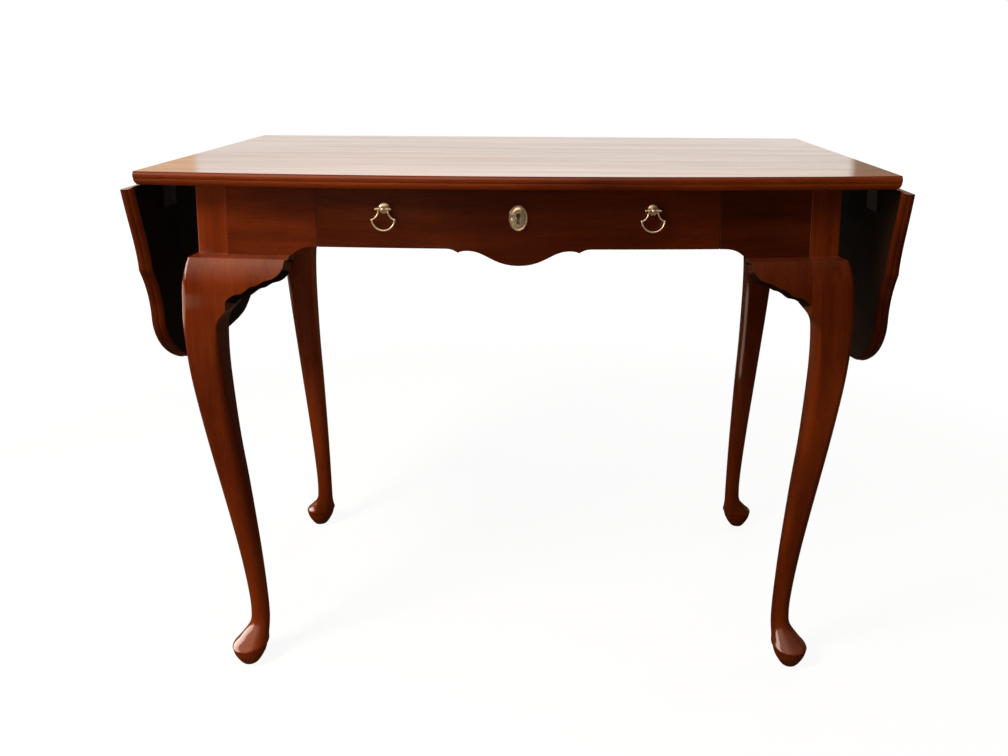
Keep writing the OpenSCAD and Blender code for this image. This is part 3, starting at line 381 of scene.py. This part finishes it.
# Painted shade: near-black matte wood for the top's underside, the blocks' undersides and the
# leaves' backs.
SHADED_UNDERSIDE_WOOD = wood("painted_shade_underside", "x", SHADOW_PALETTE, 9.0, coat=0.0, rough=0.7)
SHADED_BLOCK_FOOT_WOOD = wood("painted_shade_block_foot", "z", SHADOW_PALETTE, 13.0, coat=0.0, rough=0.7)
SHADED_LEAF_BACK_WOOD = wood("painted_shade_leaf_back", "z", SHADOW_PALETTE, 10.0, coat=0.0, rough=0.7)
PALE_X = wood("pale_wood_long", "x", PALE, 11.0, coat=0.0, rough=0.6, pores=0.3)
PALE_Y = wood("pale_wood_deep", "y", PALE, 12.0, coat=0.0, rough=0.6, pores=0.3)
BRASS = metal("polished_brass", (0.98, 0.80, 0.53), (0.80, 0.60, 0.36), 0.24, metallic=0.65)
PLATE_BRASS = metal("plate_brass", (1.0, 0.84, 0.58), (0.72, 0.52, 0.28), 0.20, metallic=0.8,
                    shade_walls=True)
# Painted shade: the hinge plates and screws are made nearly black and dull, as they lie in shade
# by the leaves.
SHADED_HINGE_BRASS = metal("painted_shade_hinge_brass", (0.030, 0.018, 0.009), (0.010, 0.006, 0.004), 0.6,
                   metallic=0.1, specular=LOW_SPECULAR)
STEEL = metal("bright_steel", (0.62, 0.62, 0.64), (0.40, 0.39, 0.38), 0.35)


# CAD nodes that keep their shape: merged, smoothed and given softened edges

MERGE_WITHIN = 1e-5
SMOOTH_ANGLE, DISSOLVE_ANGLE, SOFTEN_ANGLE = 28, 0.3, 40


def soften_group():
    """Nodes that join the CAD facets and shade them smooth up to an angle."""
    tree = bpy.data.node_groups.new("soften", "GeometryNodeTree")
    tree.interface.new_socket("Geometry", in_out="INPUT", socket_type="NodeSocketGeometry")
    tree.interface.new_socket("Geometry", in_out="OUTPUT", socket_type="NodeSocketGeometry")
    start, end = tree.nodes.new("NodeGroupInput"), tree.nodes.new("NodeGroupOutput")
    merge = tree.nodes.new("GeometryNodeMergeByDistance")
    merge.inputs["Distance"].default_value = MERGE_WITHIN
    plain = tree.nodes.new("GeometryNodeRemoveAttribute")
    plain.inputs["Name"].default_value = "custom_normal"
    faces = tree.nodes.new("GeometryNodeSetShadeSmooth")
    edges = tree.nodes.new("GeometryNodeSetShadeSmooth")
    edges.domain = "EDGE"
    edges.inputs["Shade Smooth"].default_value = False
    angle = tree.nodes.new("GeometryNodeInputMeshEdgeAngle")
    over = tree.nodes.new("FunctionNodeCompare")
    over.inputs[1].default_value = math.radians(SMOOTH_ANGLE)
    link = tree.links.new
    link(start.outputs[0], merge.inputs["Geometry"])
    link(merge.outputs["Geometry"], plain.inputs["Geometry"])
    link(plain.outputs["Geometry"], faces.inputs["Geometry"])
    link(faces.outputs["Geometry"], edges.inputs["Geometry"])
    link(angle.outputs["Unsigned Angle"], over.inputs[0])
    link(over.outputs[0], edges.inputs["Selection"])
    link(edges.outputs["Geometry"], end.inputs[0])
    return tree


SOFTEN = soften_group()


def sides(*stems):
    return [f"{stem}_{side}" for stem in stems for side in ("left", "right")]


def dress(names, material, bevel=0.0):
    """Gives CAD nodes a material, and edges that are bevel millimetres wide."""
    for name in names:
        obj = NODES[name]
        obj.data.materials.clear()
        obj.data.materials.append(material)
        if bevel:
            mod = obj.modifiers.new("soften", "NODES")
            mod.node_group = SOFTEN
            flat = obj.modifiers.new("flat", "DECIMATE")
            flat.decimate_type = "DISSOLVE"
            flat.angle_limit = math.radians(DISSOLVE_ANGLE)
            add_bevel(obj, bevel, SOFTEN_ANGLE)


dress(["drawer_front"], FRONT_WOOD, 0.4)
dress(["front_panel_left"], LIT_PANEL_WOOD, 0.4)
dress(["front_panel_right"], SHADED_PANEL_WOOD, 0.4)
dress(sides("side_apron"), SIDE_WOOD, 0.6)
dress(["back_apron"], FRONT_WOOD, 0.6)
dress(sides("loper"), FRONT_WOOD, 0.5)
dress(["front_top_rail", "front_bottom_rail", "drawer_back"] + sides("loper_guide"),
      PALE_X, 0.4)
dress(sides("drawer_runner", "drawer_guide", "drawer_kicker", "drawer_side")
      + ["corner_blocks"], PALE_Y, 0.4)
dress(["drawer_bottom"], PALE_X, 0.2)
dress(["loper_stop_pins"], PALE_Y)
dress(sides("hinge_plates", "hinge_leaf_plates", "hinge_screws", "hinge_leaf_screws"),
      SHADED_HINGE_BRASS)
dress(["lock_case", "lock_screws", "lock_bolt", "pull_rosettes", "pull_posts", "pull_nuts"]
      + sides("bail"), BRASS)
dress(["escutcheon"], PLATE_BRASS)
dress(sides("hinge_pins") + ["top_screws"], STEEL)


# Top and leaves

# Moulding: depths of the groove's two arrises and of the cove, then how far each lies in
MID_D, LOW_D, FLAT_D = TOP_T * 0.51, TOP_T * 0.545, TOP_T * 0.61
BULGE, QUIRK, STEP_IN, COVE_IN, ARRIS = 0.9, 1.9, 1.8, 0.7, 0.15
JOINT_FLAT = TOP_T * 0.44
BAND_STEPS, COVE_STEPS = 10, 7
EDGE_BEVEL, EDGE_CREASE = 0.22, 40
SAME_LEVEL, SQUARE_ON = 1e-5, 0.9


def edge_profile():
    """Moulding rows (inset, depth) from the underside up."""
    rows = [(STEP_IN, 0.0), (STEP_IN, EDGE_STEP - ARRIS)]
    for k in range(BAND_STEPS + 1):
        t = 2 * k / BAND_STEPS - 1
        rows.append((BULGE * t * t, (EDGE_STEP + MID_D) / 2 + t * (MID_D - EDGE_STEP) / 2))
    rows += [(QUIRK, MID_D + ARRIS), (QUIRK, LOW_D - ARRIS), (BULGE, LOW_D)]
    for k in range(COVE_STEPS + 1):
        t = k / COVE_STEPS
        rows.append((COVE_IN + (UNDERCUT - COVE_IN) * t * t, FLAT_D + t * (TOP_T - FLAT_D)))
    return rows[::-1]


def joint_in(depth):
    """How far the joint between top and leaf has hollowed under the top at a depth."""
    if depth < JOINT_FLAT:
        return 0.0
    return UNDERCUT * ((depth - JOINT_FLAT) / (TOP_T - JOINT_FLAT)) ** 2


PROFILE = edge_profile()
ARC_STEPS, BACK_STEPS = 96, 12
# The part's arcs are cut from flats, which lie up to this much behind the true curve
FLAT_FIT = 0.12


def top_ring(inset, depth):
    """One level of the top: the bowed front, then the straight back."""
    x1 = TOP_W / 2 - joint_in(depth)
    z = TABLE_H - depth
    ring = []
    for k in range(ARC_STEPS + 1):
        x = -x1 + 2 * x1 * k / ARC_STEPS
        ring.append((x, bow_y(x, inset + FLAT_FIT), z))
    back = TOP_D / 2 - inset
    for k in range(BACK_STEPS + 1):
        ring.append((x1 - 2 * x1 * k / BACK_STEPS, back, z))
    return ring


# The top's flat underside gets the painted-shade wood.
def top_underside(p):
    flat = abs(p.center.z - UNDER_Z * MM) < SAME_LEVEL
    return 1 if flat and p.normal.z < -SQUARE_ON else 0


points, faces = loft([top_ring(e, d) for e, d in PROFILE])
add_mesh("top", points, faces, "frame_body", [TOP_WOOD, SHADED_UNDERSIDE_WOOD],
         ["table_top"], bevel=EDGE_BEVEL, crease=EDGE_CREASE, face_material=top_underside)

LEAF_HALF = (TOP_D - TOP_BOW) / 2
LEAF_MID = TOP_BOW / 2
# Bezier spans of the leaf's cut-in side: distance from the joint, and how far in it lies
cusp = (0.418 * LEAF_LEN, CUSP_IN)
waist = (0.684 * LEAF_LEN, WAIST_IN)
shoulder = (0.975 * LEAF_LEN, 0.55 * LEAF_HALF)
leaf_spans = (
    ((0, 0), (0.16 * LEAF_LEN, 0.36 * CUSP_IN), (0.3 * LEAF_LEN, 0.92 * CUSP_IN), cusp),
    (cusp, (cusp[0] + 0.06 * LEAF_LEN, cusp[1] + 12),
     (waist[0] - 0.12 * LEAF_LEN, waist[1] - 2), waist),
    (waist, (waist[0] + 0.13 * LEAF_LEN, waist[1] + 4),
     (shoulder[0] - 0.05 * LEAF_LEN, shoulder[1] - 40), shoulder),
    (shoulder, (shoulder[0] + 0.018 * LEAF_LEN, shoulder[1] + 20),
     (LEAF_LEN, 0.74 * LEAF_HALF), (LEAF_LEN, LEAF_HALF)))
LEAF_STEPS = (21, 18, 24, 12)
leaf_side = [p for span, steps in zip(leaf_spans, LEAF_STEPS) for p in curve(*span, steps)]
leaf_outline = ([(s, t - LEAF_HALF) for s, t in leaf_side] + [(LEAF_LEN, 0.0)]
                + [(s, LEAF_HALF - t) for s, t in reversed(leaf_side)])


def left_of(a, b):
    """The unit vector to the left of the way from a to b."""
    dx, dy = b[0] - a[0], b[1] - a[1]
    size = math.hypot(dx, dy)
    return -dy / size, dx / size


def leaf_ring(inset, depth, side):
    """One level of a hanging leaf: side is -1 at the left and 1 at the right."""
    last = len(leaf_outline) - 1
    ring = []
    for k, p in enumerate(leaf_outline):
        if k in (0, last):
            s, t = LEAF_GAP - joint_in(depth), p[1] + (inset if k == 0 else -inset)
        else:
            u, v = left_of(leaf_outline[k - 1], p), left_of(p, leaf_outline[k + 1])
            fit = inset / (1 + u[0] * v[0] + u[1] * v[1])
            s, t = p[0] + fit * (u[0] + v[0]), p[1] + fit * (u[1] + v[1])
        x, z = TOP_W / 2 + s, TABLE_H - depth
        ring.append((side * (PIN_X + z - PIN_Z), LEAF_MID + t, PIN_Z - (x - PIN_X)))
    return ring


# The hanging leaf's underside, which faces the frame, gets the painted-shade wood.
def leaf_underside(side):
    inner = (PIN_X + UNDER_Z - PIN_Z) * MM

    def pick(p):
        flat = abs(side * p.center.x - inner) < SAME_LEVEL
        return 1 if flat and side * p.normal.x < -SQUARE_ON else 0
    return pick


for side, word in ((-1, "left"), (1, "right")):
    points, faces = loft([leaf_ring(e, d, side) for e, d in PROFILE])
    add_mesh("leaf_board_" + word, points, faces, f"leaf_{word}_body",
             [LEAF_WOOD, SHADED_LEAF_BACK_WOOD], ["leaf_" + word], bevel=EDGE_BEVEL,
             crease=EDGE_CREASE, face_material=leaf_underside(side))


# Legs: rows of height, inner face, outer face, and the corner radii as shares of the
# half width, for the outer corner and for the other three

ROUND, SQUARE = 0.97, 0.03
LEDGE_DROP, LEDGE_ROUND, POST_ROUND = 4, 0.16, (0.08, 0.06)
SKEW_LOW, SKEW_RISE = 110, 100
LEG_CREASE, LEG_BEVEL = 24, 0.5
ankle_lo, ankle_hi = -ANKLE_IN - ANKLE_D / 2, -ANKLE_IN + ANKLE_D / 2
ankle_z = 0.174 * LEDGE_Z
foot_row = (RIM_Z, -FOOT_IN - FOOT_D / 2, -FOOT_IN + FOOT_D / 2, ROUND, ROUND)
sole_rows = [
    (0, -FOOT_IN - BASE_D / 2, -FOOT_IN + BASE_D / 2, ROUND, ROUND),
    (0.21 * RIM_Z, -FOOT_IN - 0.32 * FOOT_D, -FOOT_IN + 0.32 * FOOT_D, ROUND, ROUND),
    (0.6 * RIM_Z, -FOOT_IN - 0.44 * FOOT_D, -FOOT_IN + 0.44 * FOOT_D, ROUND, ROUND),
    foot_row]
instep_rows = [
    foot_row,
    (RIM_Z + 3, foot_row[1] - 1.5, foot_row[2] - 2, ROUND, ROUND),
    (1.43 * RIM_Z, 1.04 * ankle_lo, 0.19 * foot_row[2], ROUND, ROUND),
    (2 * RIM_Z, 1.045 * ankle_lo, ankle_hi + 0.5, ROUND, ROUND),
    (2.7 * RIM_Z, 1.04 * ankle_lo, ankle_hi - 2, ROUND, ROUND)]
# From the ankle to the knee, the first three as shares of the way
SHANK_SHARES = [
    (0, 0, 0, ROUND, ROUND), (0.13, 0.22, 0.126, 0.92, 0.92), (0.27, 0.534, 0.288, 0.78, 0.84),
    (0.41, 0.885, 0.459, 0.62, 0.74), (0.55, 1.288, 0.628, 0.48, 0.62),
    (0.69, 1.594, 0.787, 0.38, 0.50), (0.82, 1.818, 0.915, 0.32, 0.38),
    (0.92, 1.875, 0.975, 0.28, 0.2), (0.965, 1.735, 0.996, 0.27, 0.1)]
shank_rows = [(ankle_z + s[0] * (KNEE_Z - ankle_z),
               ankle_lo + s[1] * (-HALF_POST - ankle_lo),
               ankle_hi + s[2] * (HALF_POST + KNEE_OUT - ankle_hi), s[3], s[4])
              for s in SHANK_SHARES]
# Of the block's height and of the knee's reach, and the outer corner's radius
KNEE_SHARES = [(0, 1.0, 0.26), (0.42, 0.95, 0.25), (0.62, 0.86, 0.23), (0.81, 0.71, 0.2)]
knee_rows = [(KNEE_Z + s[0] * BLOCK_H, -HALF_POST, HALF_POST + s[1] * KNEE_OUT, s[2], SQUARE)
             for s in KNEE_SHARES]
knee_rows.append((LEDGE_Z - LEDGE_DROP, -HALF_POST, HALF_POST + LEDGE_W, LEDGE_ROUND, SQUARE))
LINE_STEPS, SOLE_STEPS = 6, 4
knee_line = smooth(knee_rows, LINE_STEPS)
shank_line = smooth(instep_rows + shank_rows + [knee_rows[0]], LINE_STEPS)
post_rows = [(z, -HALF_POST, HALF_POST, *POST_ROUND) for z in (LEDGE_Z, UNDER_Z)]
leg_line = smooth(sole_rows, SOLE_STEPS)[:-1] + shank_line[:-1] + knee_line + post_rows
CORNER_STEPS = 14
CORNER_SIGNS = ((1, 1), (-1, 1), (-1, -1), (1, -1))


def leg_ring(row, skew):
    """One level of a leg, whose post's front follows the bow by its skew."""
    z, lo, hi, corner, other = row
    half, centre = (hi - lo) / 2, (hi + lo) / 2
    lean = skew * max(0.0, min(1.0, (z - KNEE_Z + SKEW_LOW) / SKEW_RISE))
    ring = []
    for q, (sa, sb) in enumerate(CORNER_SIGNS):
        r = half * (corner if q == 0 else other)
        for j in range(CORNER_STEPS):
            turn = math.radians(90 * q + 90 * j / (CORNER_STEPS - 1))
            a = centre + sa * (half - r) + r * math.cos(turn)
            b = centre + sb * (half - r) + r * math.sin(turn)
            ring.append((a, b - lean * a * (b - lo) / (2 * half), z))
    return ring


def place_leg(point, x_sign, y_sign):
    """From a leg's own frame, whose x and y point outwards, to the table."""
    x, y, z = point
    return (x_sign * (POST_X + x), POST_YF - y if y_sign < 0 else POST_YR + y, z)


for x_sign, side in ((-1, "left"), (1, "right")):
    for y_sign, end in ((-1, "front"), (1, "rear")):
        skew = BOW_SLOPE if y_sign < 0 else 0.0
        rings = [[place_leg(p, x_sign, y_sign) for p in leg_ring(row, skew)]
                 for row in leg_line]
        points, faces = loft(rings)
        # Left legs take the lit copy of the wood, right legs the copy with painted shade.
        add_mesh(f"cabriole_{end}_{side}", points, faces, "frame_body",
                 [LIT_LEG_WOOD if x_sign < 0 else SHADED_LEG_WOOD], [f"leg_{end}_{side}"],
                 crease=LEG_CREASE, bevel=LEG_BEVEL)


# Knee blocks

BLOCK_SINK = 1.2  # how far a block runs into its leg, which hides the seam
FRONT_ROWS, SLANT_PASSES, LEAST_FRONT = 26, 12, 0.6
BLOCK_CREASE, BLOCK_BEVEL, SHADE_FACING = 28, 0.3, 0.4


def on_block(along, up):
    return along * BLOCK_LEN, up * BLOCK_H


# Bezier spans of the scalloped outline at a block's back, and its tip, as shares of the
# block's length from the leg and of its height
SCALLOPS = (
    ((0, 0), (0.05, 0.08), (0.12, 0.152), (0.227, 0.158)),
    ((0.227, 0.158), (0.3, 0.17), (0.37, 0.288), (0.455, 0.308)),
    ((0.455, 0.308), (0.54, 0.315), (0.58, 0.405), (0.69, 0.425)),
    ((0.69, 0.425), (0.82, 0.46), (0.925, 0.58), (0.935, 0.72)))
TIP = ((0.935, 0.72), (0.95, 0.8), (1, 0.86))
SCALLOP_STEPS = 14
block_outline = [(-BLOCK_SINK, 0.0)]
for span in SCALLOPS:
    block_outline += curve(*[on_block(*share) for share in span], SCALLOP_STEPS)
block_outline += [on_block(*share) for share in TIP]
profile_line = sorted((row[0], row[2] - HALF_POST) for row in knee_line)
LIP_Z, LIP_OUT = profile_line[-1]


def block_front(z):
    """How far the block's front stands out at a height."""
    if z >= LIP_Z:
        return LIP_OUT * (LEDGE_Z - z) / (LEDGE_Z - LIP_Z)
    for (z0, o0), (z1, o1) in zip(profile_line, profile_line[1:]):
        if z0 <= z <= z1:
            return o0 + (o1 - o0) * (z - z0) / (z1 - z0)
    return profile_line[0][1]


def arris_z(low):
    """Where the slanted underside, low at its back, meets the block's front."""
    z = low
    for _ in range(SLANT_PASSES):
        z = low + BLOCK_SLANT * (APRON_T + block_front(z))
    return min(z, LIP_Z - LEAST_FRONT)


def block_section(s, low, face, tilt):
    """One upright section of a block in the leg's own corner."""
    outline = [(-APRON_T, low), (-APRON_T, LEDGE_Z), (0.0, LEDGE_Z), (LIP_OUT, LIP_Z)]
    front_low = arris_z(low)
    for k in range(1, FRONT_ROWS + 1):
        z = LIP_Z + (front_low - LIP_Z) * k / FRONT_ROWS
        outline.append((block_front(z), z))
    ring = []
    for v, z in outline:
        u = (-s - v * math.sin(tilt)) / math.cos(tilt)
        ring.append((-HALF_POST - s, face - u * math.sin(tilt) + v * math.cos(tilt), z))
    return ring


def knee_block(face, tilt):
    return [block_section(s, KNEE_Z + up, face, tilt) for s, up in block_outline]


FRONT_TILT = math.asin((FRONT_HALF - BLOCK_LEN / 2) / (TOP_R - FRONT_OVER))
FRONT_FACE = POST_YF - bow_y(FRONT_HALF, FRONT_OVER)


def add_block(name, node, columns, swap, x_sign, y_sign):
    """A block from its sections; swapped, it stands under the side instead of the front."""
    rings = []
    for column in columns:
        ring = [(p[1], p[0], p[2]) if swap else p for p in column]
        rings.append([place_leg(p, x_sign, y_sign) for p in ring])
    points, faces = loft(rings)
    # Blocks at the left take the lit copy of the wood, blocks at the right the copy with painted
    # shade.
    add_mesh(name, points, faces, "frame_body",
             [LIT_BLOCK_WOOD if x_sign < 0 else SHADED_BLOCK_WOOD, SHADED_BLOCK_FOOT_WOOD], [node],
             crease=BLOCK_CREASE, bevel=BLOCK_BEVEL,
             # Faces that look downwards take the painted-shade wood.
             face_material=lambda p: 1 if p.normal.z < -SHADE_FACING else 0)


for x_sign, side in ((-1, "left"), (1, "right")):
    add_block(f"block_front_{side}", f"knee_block_front_{side}",
              knee_block(FRONT_FACE, FRONT_TILT), False, x_sign, -1)
    add_block(f"block_back_{side}", f"knee_block_back_{side}",
              knee_block(HALF_POST, 0.0), False, x_sign, 1)
    for y_sign, end in ((-1, "front"), (1, "rear")):
        add_block(f"block_{side}_{end}", f"knee_block_{side}_{end}",
                  knee_block(HALF_POST, 0.0), True, x_sign, y_sign)


# Floor, light and camera

FLOOR_SIZE, FLOOR_CELLS, FLOOR_Z = 12.0, 12, -0.0005
PALE_REACH = (1.0, 2.0)
PALE_LOW, PALE_HIGH = (0.78, 0.78, 0.78), (0.82, 0.82, 0.82)
FAR_TONE = (0.05, 0.05, 0.05, 1)
SPECK_SCALE, SPECK_STOPS = 3.0, (0.3, 0.7)
FLOOR_TONE = (0.055, 0.032, 0.020, 1)
WHITE, WHITE_STRENGTH, WHITE_SHARE = (1, 1, 1, 1), 1.06, 0.86
SUNLIT_X, SUNLIT_Y, SUN_TONE = (-1.8, -2.4), (-3.0, -2.2), (2.4, 1.8, 1.35, 1)


def floor_material():
    """Pale to the camera, and pure white further out. Reflections show a dark floor
    with a sunlit patch far to the left."""
    n = Material("pale_floor")
    place = n.add("ShaderNodeTexCoord").outputs["Object"]
    path = n.add("ShaderNodeLightPath")
    reach = n.add("ShaderNodeVectorMath", {"operation": "LENGTH"}, Vector=place)
    outer = n.step(reach.outputs["Value"], *PALE_REACH)
    colour = n.ramp(n.noise(place, SPECK_SCALE), list(zip(SPECK_STOPS, (PALE_LOW, PALE_HIGH))))
    colour = n.mix(outer, colour, FAR_TONE)
    colour = n.mix(path.outputs["Is Camera Ray"], FLOOR_TONE, colour)
    matte = n.add("ShaderNodeBsdfDiffuse", Color=colour)
    spot = n.add("ShaderNodeSeparateXYZ", Vector=place)
    # Painted light: a patch of floor far to the left glows for reflections only, standing in for
    # sunlight that no lamp gives.
    sunlit = n.math("MULTIPLY", n.step(spot.outputs["X"], *SUNLIT_X),
                    n.step(spot.outputs["Y"], *SUNLIT_Y))
    glow = n.add("ShaderNodeEmission", Color=SUN_TONE)
    n.put(glow, "Strength", n.math("MULTIPLY", sunlit, path.outputs["Is Glossy Ray"]))
    ground = n.add("ShaderNodeAddShader")
    n.put(ground, "0", matte.outputs[0])
    n.put(ground, "1", glow.outputs[0])
    white = n.add("ShaderNodeEmission", Color=WHITE, Strength=WHITE_STRENGTH)
    share = n.math("ADD", n.math("MULTIPLY", outer, 1 - WHITE_SHARE), WHITE_SHARE)
    share = n.math("MULTIPLY", path.outputs["Is Camera Ray"], share)
    return n.finish(n.blend(share, ground, white))


def make_floor():
    mesh = bpy.data.meshes.new("floor")
    bm = bmesh.new()
    bmesh.ops.create_grid(bm, x_segments=FLOOR_CELLS, y_segments=FLOOR_CELLS,
                          size=FLOOR_SIZE / 2)
    bm.to_mesh(mesh)
    bm.free()
    mesh.materials.append(floor_material())
    floor = bpy.data.objects.new("floor", mesh)
    bpy.context.scene.collection.objects.link(floor)
    floor.location = (0, 0, FLOOR_Z)


# What reflections meet, by the direction (x, y, z) in which they leave. Pairs are the ends
# of a soft step. The backdrop's sides are given as x / y.
BEHIND_Y, BEHIND_TOP = (0.55, 0.65), (0.35, 0.7)
BACKDROP_LEFT, BACKDROP_RIGHT, BACKDROP_SOFT = -0.398, 0.325, 0.006
BACKDROP_RISE, LEAST_Y = (0.105, 0.14), 0.001
CEILING_RISE = (0.25, 0.9)
FRONT_WALL_Z, FRONT_WALL_X = (-0.02, 0.40), (0.45, -0.30)
WINDOW_X, WINDOW_SILL, WINDOW_HEAD = (-0.72, -0.80), (0.02, 0.10), (0.6, 0.5)
BACKDROP_LOW, BACKDROP_HIGH = (1.07, 1.00, 0.92, 1), (1.50, 1.37, 1.24, 1)
LEFT_WALL, RIGHT_WALL = (1.0, 0.70, 0.44, 1), (0.36, 0.25, 0.16, 1)
DARK_ROOM, CEILING = (0.014, 0.010, 0.008, 1), (0.50, 0.42, 0.34, 1)
FRONT_WALL, WINDOW = (1.9, 1.45, 1.1, 1), (8.5, 7.6, 6.7, 1)
AMBIENT, AMBIENT_STRENGTH = (1.0, 0.95, 0.90, 1), 0.13


def soft_edge(ratio):
    return ratio - BACKDROP_SOFT, ratio + BACKDROP_SOFT


def make_world():
    """White to the camera. Reflections show a backdrop behind the table in a dim room."""
    world = bpy.data.worlds.new("studio")
    bpy.context.scene.world = world
    world.use_nodes = True
    n = Nodes(world.node_tree)
    axes = n.add("ShaderNodeSeparateXYZ")
    n.put(axes, "0", n.add("ShaderNodeTexCoord").outputs["Generated"])
    x, y, z = axes.outputs

    across = n.math("DIVIDE", x, n.math("MAXIMUM", y, LEAST_Y))
    backdrop = n.mix(n.step(z, *BACKDROP_RISE), BACKDROP_LOW, BACKDROP_HIGH)
    back = n.mix(n.step(across, *soft_edge(BACKDROP_LEFT)), LEFT_WALL, backdrop)
    back = n.mix(n.step(across, *soft_edge(BACKDROP_RIGHT)), back, RIGHT_WALL)

    room = n.mix(n.step(z, *CEILING_RISE), DARK_ROOM, CEILING)
    wall = n.math("MULTIPLY", n.step(z, *FRONT_WALL_Z), n.step(x, *FRONT_WALL_X))
    room = n.mix(wall, room, FRONT_WALL)
    pane = n.math("MULTIPLY", n.step(x, *WINDOW_X), n.step(z, *WINDOW_SILL))
    pane = n.math("MULTIPLY", pane, n.step(z, *WINDOW_HEAD))
    room = n.mix(pane, room, WINDOW)

    behind = n.math("SUBTRACT", n.step(y, *BEHIND_Y), n.step(z, *BEHIND_TOP), clamp=True)
    mirrored = n.add("ShaderNodeBackground", Color=n.mix(behind, room, back))
    ambient = n.add("ShaderNodeBackground", Color=AMBIENT, Strength=AMBIENT_STRENGTH)
    white = n.add("ShaderNodeBackground", Color=WHITE)
    path = n.add("ShaderNodeLightPath")
    shine = n.math("MAXIMUM", path.outputs["Is Glossy Ray"], path.outputs["Is Transmission Ray"])
    seen = n.blend(path.outputs["Is Camera Ray"], n.blend(shine, ambient, mirrored), white)
    n.put(n.add("ShaderNodeOutputWorld"), "0", seen.outputs[0])


# Name, place, what it is aimed at, size in metres, watts, colour
LIGHTS = (
    ("key", (-1.65, -1.4, 2.15), (-0.1, 0, 0.4), (0.8, 0.8), 64, (1.0, 0.93, 0.84)),
    ("low", (-0.5, -1.7, 0.35), (0, 0, 0.25), (0.8, 0.4), 8.5, (1.0, 0.90, 0.78)),
    ("rear", (0.7, 2.4, 1.3), (0, 0, 0.4), (1.2, 1.2), 12, (1.0, 0.95, 0.90)),
    ("fill", (2.2, -2.2, 1.3), (0, 0, 0.5), (1.4, 1.4), 2.5, (1.0, 0.95, 0.90)),
    ("side", (2.3, 0.9, 1.2), (0.5, 0, 0.4), (1.2, 1.2), 12, (1.0, 0.93, 0.84)),
    ("overhead", (-0.2, 0.1, 2.5), (0, 0, 0.6), (2.0, 1.4), 14, (1, 1, 1)),
)


def make_light(name, place, target, size, power, colour):
    """A rectangular lamp, left out of reflections, where its edges would show."""
    light = bpy.data.lights.new(name, "AREA")
    light.shape = "RECTANGLE"
    light.size, light.size_y = size
    light.energy = power
    light.color = colour
    obj = bpy.data.objects.new(name, light)
    obj.location = place
    aim = Vector(target) - Vector(place)
    obj.rotation_euler = aim.to_track_quat("-Z", "Y").to_euler()
    obj.visible_glossy = False
    bpy.context.scene.collection.objects.link(obj)


# The camera as solved on the photograph: angles in radians, place in metres, lens in pixels
PITCH, ROLL, YAW = 0.154187, 0.006924, 0.003575
EYE = (0.05215, -1.4546, 0.9048)
SENSOR_MM, CLIP_NEAR, CLIP_FAR = 36.0, 0.05, 50.0
FOCAL_PX, CENTRE_PX, FRAME_PX = 913.566, (560.825, 197.07), (1008, 756)


def make_camera():
    data = bpy.data.cameras.new("photo_view")
    data.sensor_width = SENSOR_MM
    data.lens = FOCAL_PX * data.sensor_width / FRAME_PX[0]
    data.shift_x = (FRAME_PX[0] / 2 - CENTRE_PX[0]) / FRAME_PX[0]
    data.shift_y = (CENTRE_PX[1] - FRAME_PX[1] / 2) / FRAME_PX[0]
    data.clip_start, data.clip_end = CLIP_NEAR, CLIP_FAR
    cam = bpy.data.objects.new("photo_view", data)
    bpy.context.scene.collection.objects.link(cam)
    level = Vector((math.cos(YAW), -math.sin(YAW), 0))
    ahead = Vector((math.sin(YAW), math.cos(YAW), 0)) * math.cos(PITCH)
    ahead.z = -math.sin(PITCH)
    upward = level.cross(ahead)
    right = level * math.cos(ROLL) + upward * math.sin(ROLL)
    up = upward * math.cos(ROLL) - level * math.sin(ROLL)
    turn = Matrix((right, up, -ahead)).transposed().to_4x4()
    cam.matrix_world = Matrix.Translation(EYE) @ turn
    bpy.context.scene.camera = cam


make_floor()
make_world()
for light in LIGHTS:
    make_light(*light)
make_camera()

scene = bpy.context.scene
scene.view_settings.view_transform = "Standard"
